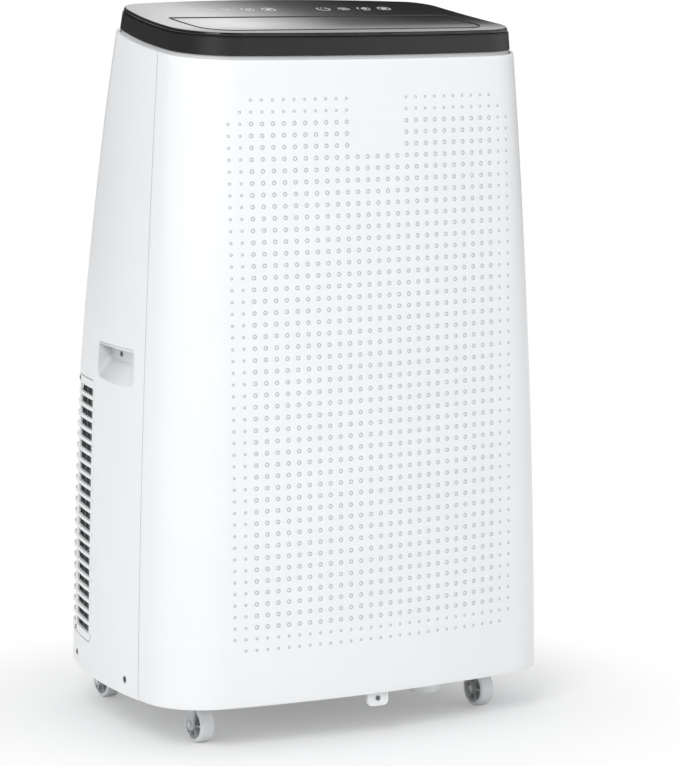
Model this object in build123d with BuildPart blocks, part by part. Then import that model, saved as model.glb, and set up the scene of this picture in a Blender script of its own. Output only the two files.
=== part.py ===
"""Portable air conditioner on casters, built as separate pieces in millimetres.

The floor is z = 0, the front faces -Y, +X is to the right seen from the front.
"""

import os
from math import asin, cos, hypot, radians, sin, sqrt, tan

from build123d import *

os.makedirs("parts", exist_ok=True)

# Body envelope: bowed front and sides, rear that bends and leans forward
HALF_WIDTH = 223.45
SIDE_BOW_Z = -195.0
SIDE_BOW_RADIUS = 13263.0
FRONT_Y = -174.6
FRONT_BOW_Z = 168.0
FRONT_BOW_RADIUS = 11261.0
REAR_Y = 172.6
REAR_BEND_Z = 150.0
REAR_BEND_RADIUS = 1060.0
REAR_LEAN = 15.2
PLAN_FRONT_RADIUS = 1100.0
PLAN_SIDE_RADIUS = 620.0
PLAN_SIDE_Y = -75.0
PLAN_REAR_RADIUS = 900.0
FRONT_CORNER = 62.0
REAR_CORNER = 37.0
BODY_BOTTOM = 44.0
SKIN = 3.0
SEAM_Y = -80.0
GAP = 0.5
FIT = 0.4
RUN = 0.05

# Top: deck plate, band, neck and body edge follow one rising arc
DECK_FRONT_Z = 693.5
DECK_FRONT_Y = -163.3
DECK_SLOPE = 0.066
DECK_ARC_RADIUS = 1389.0
DECK_PLATE = 4.0
BAND_TOP = 4.9
BAND_BOTTOM = 21.8
BODY_TOP = 25.1
NECK_BOTTOM = 33.0
BAND_INSET = 3.4
BAND_WALL = 3.4
PANEL_INSET = 4.4
GROOVE_INSET = 5.2
NECK_INSET = 5.4
NECK_WALL = 3.0
RIM_ROUND = 1.6

# Outlet flap in the deck
FLAP_HALF = 158.0
FLAP_FRONT_Y = -124.0
FLAP_HINGE_Y = -40.0
FLAP_CORNER = 29.0
FLAP_GAP = 0.8
FLAP_PIN_RADIUS = 1.2
FLAP_PIN_LENGTH = 6.0
FLAP_ARM = 22.0
LINK_REACH = 58.0
LINK_DROP = 13.0
LINK_PIN_RADIUS = 1.5
LINK_PIN_LENGTH = 4.4
LINK_WIDTH = 7.0
LINK_PLATE = 3.0
ARM_INSET = 4.0
ARM_PLATE = 4.0
ARM_TIP = 3.2
CRANK_HUB = 4.0
CRANK_SHAFT_RADIUS = 2.5
CRANK_SHAFT_LENGTH = 8.0
MOTOR_CAN_RADIUS = 12.0
HINGE_BOSS = 8.0
HINGE_BOSS_HALF = 5.0
DUCT_WALL = 2.0
DUCT_SIDE = 18.0
DUCT_END = 7.0
THROAT_WIDTH = 88.0
GUARD_DROP = 34.0
GUARD_HEIGHT = 9.0
GUARD_PITCH = 24.0
GUARD_BAR = 2.4
GUARD_COUNT = 11
BOARD_HALF = 84.0
BOARD_NEAR = -16.0
BOARD_FAR = 22.0
BOARD_DROP = 6.0
BOARD_PLATE = 1.6
BOARD_POST_INSET = 8.0
BOARD_POST_RADIUS = 2.5

# Handles, grilles and exhaust on the housing
HANDLE_Y = -9.5
HANDLE_Z = 367.5
HANDLE_LENGTH = 94.0
HANDLE_HEIGHT = 32.0
HANDLE_DEPTH = 15.0
HANDLE_TAPER = 5.0
HANDLE_SLOPE = 16.5
HANDLE_TOP_DRAFT = 0.5
HANDLE_PROUD = 6.0
HANDLE_WALL = 2.0
HANDLE_FRONT_CORNER = 6.0
HANDLE_REAR_CORNER = 2.0
HANDLE_PAD = 1.5
HANDLE_PAD_REAR = 31.0
GRILLE_EDGE_Y = 47.5
GRILLE_LOW = 76.5
GRILLE_HIGH = 344.0
GRILLE_CORNER = 12.0
GRILLE_GAP = 0.9
SLOT_PITCH = 11.5
SLOT_HEIGHT = 8.0
SLOT_MARGIN = 8.9
SIDE_MARGIN = 10.2
SIDE_SLOT = 55.0
SIDE_BAR = 9.0
BAR = 5.0
GRILLE_COLUMNS = 5
GRILLE_END = 8.0
FILTER_DEPTH = 4.0
FILTER_STRIP = 4.0
FILTER_STANDOFF = 0.8
BAR_INSET = 0.5
INTAKE_HALF = 148.0
INTAKE_LOW = 532.0
INTAKE_HIGH = 664.0
INTAKE_COLUMNS = 6
INTAKE_FILTER_EDGE = 2.0
INTAKE_FILTER_ROWS = 4
INTAKE_FILTER_WINDOW = (43.0, 24.0)
INTAKE_FILTER_STRIP = 3.0
COLLAR_Z = 437.0
COLLAR_BORE = 73.0
COLLAR_WALL = 3.0
COLLAR_FLANGE = 10.0
COLLAR_OUT = 16.0
COLLAR_IN = 26.0
COLLAR_SEAT = 0.3

# Base tray and casters
TRAY_FLOOR = 3.0
TRAY_LIFT = 2.0
TRAY_WALL = 2.5
TRAY_WALL_HEIGHT = 24.0
WHEEL_RADIUS = 18.0
WHEEL_WIDTH = 15.0
WHEEL_ROUND = 2.0
WHEEL_RIM = 3.4
WHEEL_HUB = 5.2
WHEEL_WEB = 3.0
WHEEL_SPOKES = 6
WHEEL_SPOKE = 1.8
WHEEL_PLAY = 0.7
AXLE_RADIUS = 2.5
AXLE_HEAD = 1.2
AXLE_HEAD_RADIUS = 3.6
STEM_RADIUS = 4.0
STEM_LENGTH = 20.0
SOCKET_WALL = 5.0
CASTER_TRAIL = 12.0
FRONT_WHEEL_INSET = 57.5
FRONT_WHEEL_Y = -100.8
REAR_WHEEL_INSET = 74.0
REAR_WHEEL_Y = 132.0
FORK_PLATE = 3.0
FORK_CROWN = 3.6
FORK_CROWN_RADIUS = 13.0
FORK_EYE = 5.5
FORK_HEEL = 8.0
FORK_LIFT = 0.6
LUG_WIDTH = 23.0
LUG_LENGTH = 16.5
LUG_DEPTH = 3.0
LUG_CORNER = 5.0
LUG_RIM = 1.8
LUG_RIM_PROUD = 1.2
LUG_SCREW_RADIUS = 1.4
LUG_SCREW_HEAD = 2.4
LUG_SCREW_DROP = 9.0
SUMP_X = 95.0
SUMP_Y = -105.0
SUMP_RADIUS = 17.0
SUMP_WALL = 3.0
SUMP_BOTTOM = 24.0
DRAIN_X = 40.0
DRAIN_Z = 62.0
DRAIN_RADIUS = 7.0
SPOUT_WALL = 2.5
SPOUT_LENGTH = 24.0
PLUG_LENGTH = 12.0
PLUG_FIT = 0.3
PLUG_FLANGE = 2.0
GLAND_LENGTH = 8.0
GLAND_FLANGE = 3.0
GLAND_BORE = 4.0
SIDE_SCREWS = ((-50.5, 59.0), (109.0, 56.0))
SCREW_RADIUS = 2.0
SCREW_HEAD = 3.4
SCREW_HEAD_HEIGHT = 1.5
SCREW_SEAT = 1.6
SCREW_LENGTH = 14.0

# Machinery
COMPRESSOR_X = 118.0
COMPRESSOR_Y = -72.0
COMPRESSOR_RADIUS = 58.0
COMPRESSOR_HEIGHT = 190.0
COMPRESSOR_ROUND = 18.0
COMPRESSOR_LIFT = 8.0
COMPRESSOR_SKIRT = 36.0
FOOT_PLATE_RADIUS = 44.0
FOOT_PLATE = 3.0
FOOT_EAR = 11.0
GROMMET_HEIGHT = 24.0
GROMMET_RADIUS = 9.0
GROMMET_HOLE = 3.5
GROMMET_CIRCLE = 52.0
ACCUMULATOR_RADIUS = 20.0
ACCUMULATOR_LOW = 40.0
ACCUMULATOR_HIGH = 150.0
ACCUMULATOR_ROUND = 8.0
PIPE_RADIUS = 4.0
PIPE_BEND = 10.0
PIPE_TIGHT_BEND = 5.0
PIPE_START = 0.2
LIQUID_RADIUS = 2.5
DISCHARGE_X = 20.0
DISCHARGE_Z = 310.0
DISCHARGE_OUT = 22.0
SUCTION_X = 150.0
SUCTION_Y = -40.0
SUCTION_Z = 330.0
LIQUID_X = 176.0
LIQUID_Y = 22.0
LIQUID_Z = 120.0
SHELF_Z = 352.0
SHELF = 3.0
LOWER_FAN_X = -52.0
LOWER_FAN_Z = 205.0
LOWER_FAN_Y = 62.0
UPPER_FAN_Z = 525.0
UPPER_FAN_Y = -92.0
FAN_RADIUS = 82.0
FAN_WIDTH = 56.0
FAN_BLADES = 24
FAN_PLATE = 2.0
FAN_RING = 15.0
FAN_RING_PLATE = 2.5
FAN_HUB_RADIUS = 12.0
FAN_HUB_LENGTH = 26.0
BLADE_LENGTH = 16.0
BLADE = 1.8
BLADE_ANGLE = 32.0
SCROLL_RADIUS = 104.0
SCROLL_WALL = 2.5
SHAFT_RADIUS = 4.0
SCROLL_SPACE = 4.0
SHAFT_PLAY = 4.0
INLET_LIP = 10.0
FAN_MOTOR_RADIUS = 40.0
FAN_MOTOR_LENGTH = 30.0
FAN_MOTOR_ROUND = 6.0
FAN_SHAFT_LENGTH = 26.0
COIL_SPACE = 12.0
COIL_DEPTH = 26.0
FIN_COUNT = 22
FIN_NOTCH = 4.0
FIN_SHARE = 0.6
COIL_PLATE = 2.0
COIL_BEND_REACH = 12.0
COIL_BEND_WIDTH = 7.0
COIL_BEND_DEPTH = 6.0
CONDENSER_HALF = 138.0
CONDENSER_HEIGHT = 250.0
CONDENSER_LIFT = 36.0
CONDENSER_BENDS = 7
CONDENSER_LEG_INSET = 50.0
CONDENSER_LEG = (12.0, 18.0)
EVAPORATOR_HALF = 130.0
EVAPORATOR_HEIGHT = 116.0
EVAPORATOR_BENDS = 4
EVAPORATOR_BACK = 34.0
DRIP_MARGIN = 10.0
DRIP_WALL = 2.0
BOX_LOW = (-148.0, -150.0)
BOX_HIGH = (-66.0, -66.0)
BOX_HEIGHT = 190.0
BOX_ROUND = 4.0

LOFT_MARGIN = 50.5
LOFT_STEPS = 8
LOFT_TOP = DECK_FRONT_Z + LOFT_MARGIN
TRAY_Z = BODY_BOTTOM + TRAY_LIFT
wide = HALF_WIDTH + 60


def half_width(z):
    """Half width of the body at its widest plan line at height z."""
    return HALF_WIDTH - (z - SIDE_BOW_Z) ** 2 / (2 * SIDE_BOW_RADIUS)


def front_y(z):
    """Front of the body at x = 0 and height z."""
    return FRONT_Y + (z - FRONT_BOW_Z) ** 2 / (2 * FRONT_BOW_RADIUS)


def rear_y(z):
    """Rear of the body at x = 0: upright, then an arc, then leaning forward."""
    rise = max(0.0, z - REAR_BEND_Z)
    lean = radians(REAR_LEAN)
    bend = REAR_BEND_RADIUS * sin(lean)
    if rise <= bend:
        return REAR_Y - REAR_BEND_RADIUS + sqrt(REAR_BEND_RADIUS**2 - rise**2)
    return REAR_Y - REAR_BEND_RADIUS * (1 - cos(lean)) - (rise - bend) * tan(lean)


def side_x(y, z):
    """Side of the body at plan position y and height z."""
    return half_width(z) - PLAN_SIDE_RADIUS + sqrt(PLAN_SIDE_RADIUS**2 - (y - PLAN_SIDE_Y) ** 2)


def deck_z(y, drop):
    """Height of the deck arc at y, lowered by drop."""
    run = y - DECK_FRONT_Y
    return DECK_FRONT_Z - drop + DECK_SLOPE * run + run**2 / (2 * DECK_ARC_RADIUS)


def body_section(z, inset):
    """Plan outline of the body at height z, moved inward by inset."""
    front = front_y(z) + inset
    rear = rear_y(z) - inset
    half = half_width(z) - inset
    front_radius = PLAN_FRONT_RADIUS - inset
    side_radius = PLAN_SIDE_RADIUS - inset
    rear_radius = PLAN_REAR_RADIUS - inset
    front_end = front
    rear_end = rear
    for _ in range(12):
        front_x = half - side_radius + sqrt(side_radius**2 - (front_end - PLAN_SIDE_Y) ** 2)
        rear_x = half - side_radius + sqrt(side_radius**2 - (rear_end - PLAN_SIDE_Y) ** 2)
        front_end = front + front_radius - sqrt(front_radius**2 - front_x**2)
        rear_end = rear - rear_radius + sqrt(rear_radius**2 - rear_x**2)
    with BuildSketch(Plane.XY.offset(z)) as section:
        with BuildLine():
            ThreePointArc((-front_x, front_end), (0, front), (front_x, front_end))
            ThreePointArc((front_x, front_end), (half, PLAN_SIDE_Y), (rear_x, rear_end))
            ThreePointArc((rear_x, rear_end), (0, rear), (-rear_x, rear_end))
            ThreePointArc((-rear_x, rear_end), (-half, PLAN_SIDE_Y), (-front_x, front_end))
        make_face()
        fillet(section.vertices().group_by(Axis.Y)[0], FRONT_CORNER - inset)
        fillet(section.vertices().group_by(Axis.Y)[-1], REAR_CORNER - inset)
    return section.sketch


def box_between(low, high):
    """Box from its lowest to its highest corner."""
    middle = [(a + b) / 2 for a, b in zip(low, high)]
    with BuildPart() as block:
        with Locations(tuple(middle)):
            Box(high[0] - low[0], high[1] - low[1], high[2] - low[2])
    return block.part


lofts = {}


def body_solid(inset, low, high):
    """Solid inside the body outline between two heights."""
    if inset not in lofts:
        bottom = BODY_BOTTOM - 4
        step = (LOFT_TOP - bottom) / LOFT_STEPS
        with BuildPart() as whole:
            for i in range(LOFT_STEPS + 1):
                add(body_section(bottom + i * step, inset))
            loft()
        lofts[inset] = whole.part
    return lofts[inset] & box_between((-wide, -wide, low), (wide, wide, high))


def deck_slab(top, bottom):
    """Everything between the deck arc lowered by top and lowered by bottom."""
    ends = (FRONT_Y - 40, SEAM_Y / 2, REAR_Y)
    with BuildPart() as slab:
        with BuildSketch(Plane.YZ):
            with BuildLine():
                upper = ThreePointArc(*[(y, deck_z(y, top)) for y in ends])
                lower = ThreePointArc(*[(y, deck_z(y, bottom)) for y in ends])
                Line(upper @ 0, lower @ 0)
                Line(upper @ 1, lower @ 1)
            make_face()
        extrude(amount=HALF_WIDTH + 40, both=True)
    return slab.part


def rod(start, end, radius):
    """Round bar between two points."""
    direction = Vector(*end) - Vector(*start)
    with BuildPart() as bar:
        with BuildSketch(Plane(origin=start, z_dir=direction)):
            Circle(radius)
        extrude(amount=direction.length)
    return bar.part


def tube_run(points, radius, bend):
    """Round bar bent along a line of points."""
    with BuildPart() as run:
        with BuildLine() as path:
            FilletPolyline(*points, radius=bend)
        with BuildSketch(Plane(origin=path.line @ 0, z_dir=path.line % 0)):
            Circle(radius)
        sweep()
    return run.part


def ring_of_body(outer_inset, inner_inset, top, bottom):
    """Ring that follows the body outline between two deck arcs."""
    low = DECK_FRONT_Z - NECK_BOTTOM - 40
    with BuildPart() as ring:
        add(body_solid(outer_inset, low, LOFT_TOP - 4))
        add(body_solid(inner_inset, low - 1, LOFT_TOP - 3), mode=Mode.SUBTRACT)
        add(deck_slab(top, bottom), mode=Mode.INTERSECT)
    return ring.part


def keep(part, label):
    """Name a finished piece and write it."""
    part.label = label
    export_step(part, f"parts/{label}.step")


# Shared regions
outer_body = body_solid(0.0, BODY_BOTTOM, LOFT_TOP - 4)
inner_body = body_solid(SKIN, BODY_BOTTOM - 1, LOFT_TOP - 3)
above_body = deck_slab(-120.0, BODY_TOP)
with BuildPart() as skin:
    add(outer_body)
    add(inner_body, mode=Mode.SUBTRACT)
    add(above_body, mode=Mode.SUBTRACT)


def grille_region(shrink):
    """Side-view outline of the lower grille, through the whole width."""
    depth = REAR_Y + 60 - GRILLE_EDGE_Y
    height = GRILLE_HIGH - GRILLE_LOW
    with BuildPart() as region:
        with BuildSketch(Plane.YZ):
            with Locations((GRILLE_EDGE_Y + depth / 2, (GRILLE_LOW + GRILLE_HIGH) / 2)):
                RectangleRounded(depth - 2 * shrink, height - 2 * shrink, GRILLE_CORNER - shrink)
        extrude(amount=wide, both=True)
    return region.part


def intake_region(shrink):
    """Rear-view outline of the upper intake, through the rear skin."""
    height = INTAKE_HIGH - INTAKE_LOW
    with BuildPart() as region:
        with BuildSketch(Plane.XZ):
            with Locations((0, (INTAKE_LOW + INTAKE_HIGH) / 2)):
                RectangleRounded(
                    2 * (INTAKE_HALF - shrink), height - 2 * shrink, GRILLE_CORNER - shrink
                )
        extrude(amount=-REAR_Y - 40)
    return region.part


handle_turn = asin((HANDLE_Y - PLAN_SIDE_Y) / PLAN_SIDE_RADIUS)


def handle_plane(side, depth):
    """Plane across a side handle, square to the side face, at a depth under it."""
    outward = Vector(side * cos(handle_turn), sin(handle_turn), 0)
    face = Vector(side * side_x(HANDLE_Y, HANDLE_Z), HANDLE_Y, HANDLE_Z)
    along = (-sin(handle_turn), side * cos(handle_turn), 0)
    return Plane(face - outward * depth, x_dir=along, z_dir=outward)


def handle_block(side, grow):
    """Wedge-shaped pocket of a side handle: its lower wall slopes up to a narrow floor."""
    with BuildPart() as block:
        for depth in (-HANDLE_PROUD, HANDLE_DEPTH + grow):
            share = depth / HANDLE_DEPTH
            length = HANDLE_LENGTH - share * HANDLE_TAPER + 2 * grow
            low = -HANDLE_HEIGHT / 2 + share * HANDLE_SLOPE - grow
            high = HANDLE_HEIGHT / 2 - share * HANDLE_TOP_DRAFT + grow
            with BuildSketch(handle_plane(side, depth)) as outline:
                with Locations((0, (low + high) / 2)):
                    Rectangle(length, high - low)
                fillet(outline.vertices().group_by(Axis.Y)[0], HANDLE_FRONT_CORNER + grow)
                fillet(outline.vertices().group_by(Axis.Y)[-1], HANDLE_REAR_CORNER + grow)
        loft()
    return block.part


def handle_pad(side):
    """Raised pad on the floor of a side handle, in its front part."""
    front = (HANDLE_LENGTH - HANDLE_TAPER) / 2 + HANDLE_WALL / 2
    low = HANDLE_SLOPE - HANDLE_HEIGHT / 2 + HANDLE_PAD
    high = HANDLE_HEIGHT / 2 + HANDLE_WALL / 2
    with BuildPart() as pad:
        with BuildSketch(handle_plane(side, HANDLE_DEPTH + HANDLE_WALL / 2)) as outline:
            with Locations((side * (HANDLE_PAD_REAR - front) / 2, (low + high) / 2)):
                Rectangle(HANDLE_PAD_REAR + front, high - low)
            fillet(outline.vertices().group_by(Axis.Y)[-1].sort_by(Axis.Z)[0], HANDLE_REAR_CORNER)
        extrude(amount=HANDLE_WALL / 2 + HANDLE_PAD)
    return pad.part


collar_lean = radians(REAR_LEAN)
collar_axis = (0, cos(collar_lean), sin(collar_lean))
collar_centre = (0, rear_y(COLLAR_Z), COLLAR_Z)
collar_plane = Plane(collar_centre, x_dir=(1, 0, 0), z_dir=collar_axis)

# Front panel: curved front shell ahead of the seam
with BuildPart() as front_panel:
    add(skin.part)
    add(
        box_between((-wide, SEAM_Y - GAP / 2, 0), (wide, REAR_Y + 90, LOFT_TOP + 60)),
        mode=Mode.SUBTRACT,
    )
keep(front_panel.part, "front_panel")

# Rear housing: sides and back with windows for the grilles, handles, exhaust and drain
with BuildPart() as rear_housing:
    add(skin.part)
    add(
        box_between((-wide, FRONT_Y - 90, 0), (wide, SEAM_Y + GAP / 2, LOFT_TOP + 60)),
        mode=Mode.SUBTRACT,
    )
    add(grille_region(0.0), mode=Mode.SUBTRACT)
    add(intake_region(0.0), mode=Mode.SUBTRACT)
    for side in (-1, 1):
        add(handle_block(side, HANDLE_WALL + FIT), mode=Mode.SUBTRACT)
        for y, z in SIDE_SCREWS:
            x = side_x(y, z)
            add(
                rod((side * (x - 20), y, z), (side * (x + 9), y, z), SCREW_RADIUS + FIT),
                mode=Mode.SUBTRACT,
            )
            add(
                rod((side * (x - SCREW_SEAT - FIT / 2), y, z), (side * (x + 9), y, z), SCREW_HEAD + FIT),
                mode=Mode.SUBTRACT,
            )
    with BuildSketch(collar_plane.offset(-40)):
        Circle(COLLAR_BORE + COLLAR_WALL + FIT)
    extrude(amount=90, mode=Mode.SUBTRACT)
    for x, radius in ((DRAIN_X, DRAIN_RADIUS + SPOUT_WALL + FIT), (-DRAIN_X, DRAIN_RADIUS + FIT)):
        add(rod((x, REAR_Y - 30, DRAIN_Z), (x, REAR_Y + 9, DRAIN_Z), radius), mode=Mode.SUBTRACT)
keep(rear_housing.part, "rear_housing")

# Side handle cups
for side, name in ((-1, "handle_cup_left"), (1, "handle_cup_right")):
    with BuildPart() as handle_cup:
        add(handle_block(side, HANDLE_WALL))
        add(outer_body, mode=Mode.INTERSECT)
        add(handle_block(side, 0.0), mode=Mode.SUBTRACT)
        add(handle_pad(side))
    keep(handle_cup.part, name)

# Lower rear grille: ribs that wrap both rear corners, carried by upright bars
rib_height = SLOT_PITCH - SLOT_HEIGHT
slot_rows = int((GRILLE_HIGH - GRILLE_LOW - 2 * SLOT_MARGIN + rib_height) / SLOT_PITCH)
slots_low = (GRILLE_LOW + GRILLE_HIGH - slot_rows * SLOT_PITCH + rib_height) / 2
slot_near = GRILLE_EDGE_Y + SIDE_MARGIN
slot_far = slot_near + SIDE_SLOT
back_pitch = 2 * (side_x(REAR_Y, GRILLE_LOW) - REAR_CORNER - GRILLE_END) / GRILLE_COLUMNS


def outline_x(y, z):
    """Outer face at plan position y and height z, on the side or round the rear corner."""
    side_centre = half_width(z) - PLAN_SIDE_RADIUS
    rear_centre = rear_y(z) - PLAN_REAR_RADIUS
    to_rear = PLAN_REAR_RADIUS - REAR_CORNER
    to_side = PLAN_SIDE_RADIUS - REAR_CORNER
    rise = PLAN_SIDE_Y - rear_centre
    apart = hypot(side_centre, rise)
    along = (to_rear**2 - to_side**2 + apart**2) / (2 * apart)
    off = sqrt(to_rear**2 - along**2)
    corner_x = (along * side_centre + off * abs(rise)) / apart
    corner_y = rear_centre + sqrt(to_rear**2 - corner_x**2)
    if y <= PLAN_SIDE_Y + (corner_y - PLAN_SIDE_Y) * PLAN_SIDE_RADIUS / to_side:
        return side_x(y, z)
    return corner_x + sqrt(REAR_CORNER**2 - (y - corner_y) ** 2)


def grille_rib(low, high):
    """Level strip of the rear skin behind the grille's front edge."""
    middle = (low + high) / 2
    outline = body_section(middle, 0.0) - body_section(middle, SKIN)
    strip = extrude(outline, amount=(high - low) / 2, both=True)
    return strip & box_between((-wide, GRILLE_EDGE_Y, low - 1), (wide, REAR_Y + 60, high + 1))


ribs = [grille_rib(GRILLE_LOW, slots_low)]
for row in range(1, slot_rows):
    base = slots_low + row * SLOT_PITCH - rib_height
    ribs.append(grille_rib(base, base + rib_height))
ribs.append(grille_rib(slots_low + slot_rows * SLOT_PITCH - rib_height, GRILLE_HIGH))
bar_levels = [GRILLE_LOW + 2 + i * (GRILLE_HIGH - GRILLE_LOW - 4) / 3 for i in range(4)]


def grille_bar(corners):
    """Upright bar whose four plan corners are given at each level."""
    with BuildPart() as bar:
        for z in bar_levels:
            with BuildSketch(Plane.XY.offset(z)):
                with BuildLine():
                    Polyline(*corners(z), close=True)
                make_face()
        loft(ruled=True)
    return bar.part


def side_bar(side, near, far):
    """Bar in the side face between two plan positions."""
    return grille_bar(lambda z: [
        (side * (outline_x(near, z) - BAR_INSET), near),
        (side * (outline_x(far, z) - BAR_INSET), far),
        (side * (outline_x(far, z) - SKIN + BAR_INSET), far),
        (side * (outline_x(near, z) - SKIN + BAR_INSET), near),
    ])


def back_bar(x):
    """Bar in the rear face centred on x."""
    sag = PLAN_REAR_RADIUS - sqrt(PLAN_REAR_RADIUS**2 - x**2)
    return grille_bar(lambda z: [
        (x - BAR / 2, rear_y(z) - sag - BAR_INSET),
        (x + BAR / 2, rear_y(z) - sag - BAR_INSET),
        (x + BAR / 2, rear_y(z) - sag - SKIN + BAR_INSET),
        (x - BAR / 2, rear_y(z) - sag - SKIN + BAR_INSET),
    ])


bars = [back_bar((i - GRILLE_COLUMNS / 2) * back_pitch) for i in range(GRILLE_COLUMNS + 1)]
for side in (-1, 1):
    bars.append(side_bar(side, GRILLE_EDGE_Y, slot_near))
    bars.append(side_bar(side, slot_far, slot_far + SIDE_BAR))
with BuildPart() as lower_grille:
    add(ribs)
    add(bars)
    add(grille_region(GRILLE_GAP), mode=Mode.INTERSECT)
keep(lower_grille.part, "lower_grille")

# Filter frame behind the lower grille, its strips behind the slots
side_windows = []
window_width = (SIDE_SLOT - 2 * FILTER_STRIP) / 3
for i in range(3):
    start = slot_near + i * (window_width + FILTER_STRIP)
    side_windows.append((start, start + window_width))
row_groups = (0, slot_rows // 3, 2 * slot_rows // 3, slot_rows)
window_rows = []
for i in range(3):
    window_rows.append((slots_low + row_groups[i] * SLOT_PITCH,
                        slots_low + row_groups[i + 1] * SLOT_PITCH - rib_height))
filter_face = SKIN + FIT + FILTER_STANDOFF
with BuildPart() as lower_filter:
    add(body_solid(filter_face, GRILLE_LOW, GRILLE_HIGH))
    add(body_solid(filter_face + FILTER_DEPTH, GRILLE_LOW - 1, GRILLE_HIGH + 1), mode=Mode.SUBTRACT)
    add(grille_region(GRILLE_GAP + FILTER_STRIP / 2), mode=Mode.INTERSECT)
    for low, high in window_rows:
        for near, far in side_windows:
            add(box_between((-wide, near, low), (wide, far, high)), mode=Mode.SUBTRACT)
        for i in range(GRILLE_COLUMNS):
            x = (i + 0.5 - GRILLE_COLUMNS / 2) * back_pitch
            half = (back_pitch - BAR) / 2
            add(box_between((x - half, slot_far, low), (x + half, wide, high)), mode=Mode.SUBTRACT)
keep(lower_filter.part, "lower_filter")

# Upper intake grille, pulled straight off the leaning back
intake_mid = (INTAKE_LOW + INTAKE_HIGH) / 2
intake_rows = int((INTAKE_HIGH - INTAKE_LOW - 2 * SLOT_MARGIN + SLOT_PITCH - SLOT_HEIGHT) / SLOT_PITCH)
intake_slot = (2 * (INTAKE_HALF - SLOT_MARGIN) - (INTAKE_COLUMNS - 1) * BAR) / INTAKE_COLUMNS
with BuildPart() as upper_grille:
    add(skin.part)
    add(intake_region(GAP), mode=Mode.INTERSECT)
    with BuildSketch(Plane.XZ):
        with Locations((0, intake_mid)):
            with GridLocations(intake_slot + BAR, SLOT_PITCH, INTAKE_COLUMNS, intake_rows):
                Rectangle(intake_slot, SLOT_HEIGHT)
    extrude(amount=-REAR_Y - 40, mode=Mode.SUBTRACT)
keep(upper_grille.part, "upper_grille")

# Filter frame clipped behind the intake grille
with BuildPart() as upper_filter:
    add(body_solid(SKIN + FIT, INTAKE_LOW - 20, INTAKE_HIGH + 20))
    add(body_solid(SKIN + FIT + FILTER_DEPTH, INTAKE_LOW - 21, INTAKE_HIGH + 21), mode=Mode.SUBTRACT)
    add(intake_region(GAP + INTAKE_FILTER_EDGE), mode=Mode.INTERSECT)
    across = INTAKE_FILTER_WINDOW[0] + INTAKE_FILTER_STRIP
    upward = INTAKE_FILTER_WINDOW[1] + INTAKE_FILTER_STRIP
    with BuildSketch(Plane.XZ):
        with Locations((0, intake_mid)):
            with GridLocations(across, upward, INTAKE_COLUMNS, INTAKE_FILTER_ROWS):
                Rectangle(*INTAKE_FILTER_WINDOW)
    extrude(amount=-REAR_Y - 40, mode=Mode.SUBTRACT)
keep(upper_filter.part, "upper_filter")

# Exhaust collar: round spigot with a flange that follows the back
with BuildPart() as exhaust_collar:
    with BuildSketch(collar_plane.offset(-6)):
        Circle(COLLAR_BORE + COLLAR_WALL + COLLAR_FLANGE)
    extrude(amount=6 + COLLAR_OUT / 3)
    add(body_solid(-COLLAR_SEAT, COLLAR_Z - 110, COLLAR_Z + 110), mode=Mode.SUBTRACT)
    with BuildSketch(collar_plane.offset(-COLLAR_IN)):
        Circle(COLLAR_BORE + COLLAR_WALL)
    extrude(amount=COLLAR_IN + COLLAR_OUT)
    with BuildSketch(collar_plane.offset(-COLLAR_IN - 1)):
        Circle(COLLAR_BORE)
    extrude(amount=COLLAR_IN + COLLAR_OUT + 2, mode=Mode.SUBTRACT)
keep(exhaust_collar.part, "exhaust_collar")

# Neck frame: recessed ring between the body and the band
with BuildPart() as neck_frame:
    add(ring_of_body(NECK_INSET, NECK_INSET + NECK_WALL, BAND_BOTTOM, NECK_BOTTOM))
    add(ring_of_body(SKIN + FIT, NECK_INSET + NECK_WALL, BODY_TOP + 2, NECK_BOTTOM))
keep(neck_frame.part, "neck_frame")

# Top band with a narrow groove under the deck plate
with BuildPart() as top_band:
    add(ring_of_body(BAND_INSET, BAND_INSET + BAND_WALL, BAND_TOP, BAND_BOTTOM))
    add(ring_of_body(GROOVE_INSET, BAND_INSET + BAND_WALL, DECK_PLATE, BAND_TOP + 1))
keep(top_band.part, "top_band")

# Deck plate with the flap opening and two hinge bosses
hinge_z = deck_z(FLAP_HINGE_Y, DECK_PLATE / 2)
barrel = DECK_PLATE / 2


def flap_outline(grow, rear):
    """Column through the deck inside the flap outline, ending at y = rear."""
    depth = rear - FLAP_FRONT_Y + grow
    with BuildPart() as column:
        with BuildSketch(Plane.XY.offset(DECK_FRONT_Z - 60)) as outline:
            with Locations((0, rear - depth / 2)):
                Rectangle(2 * (FLAP_HALF + grow), depth)
            fillet(outline.vertices().group_by(Axis.Y)[0], FLAP_CORNER + grow)
        extrude(amount=140)
    return column.part


boss_start = FLAP_HALF + FLAP_GAP + 0.2
with BuildPart() as top_panel:
    add(body_solid(PANEL_INSET, DECK_FRONT_Z - 60, LOFT_TOP - 4))
    add(deck_slab(0.0, DECK_PLATE), mode=Mode.INTERSECT)
    fillet(top_panel.faces().sort_by(Axis.Z)[-1].edges(), RIM_ROUND)
    add(flap_outline(FLAP_GAP, FLAP_HINGE_Y + barrel + FLAP_GAP), mode=Mode.SUBTRACT)
    for side in (-1, 1):
        ends = sorted((side * boss_start, side * (boss_start + HINGE_BOSS)))
        add(
            box_between((ends[0], FLAP_HINGE_Y - HINGE_BOSS_HALF, hinge_z - HINGE_BOSS_HALF),
                        (ends[1], FLAP_HINGE_Y + HINGE_BOSS_HALF, hinge_z))
        )
        add(
            rod(
                (side * (boss_start - 1), FLAP_HINGE_Y, hinge_z),
                (side * (FLAP_HALF + FLAP_PIN_LENGTH + 0.6), FLAP_HINGE_Y, hinge_z),
                FLAP_PIN_RADIUS + RUN,
            ),
            mode=Mode.SUBTRACT,
        )
keep(top_panel.part, "top_panel")

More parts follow.
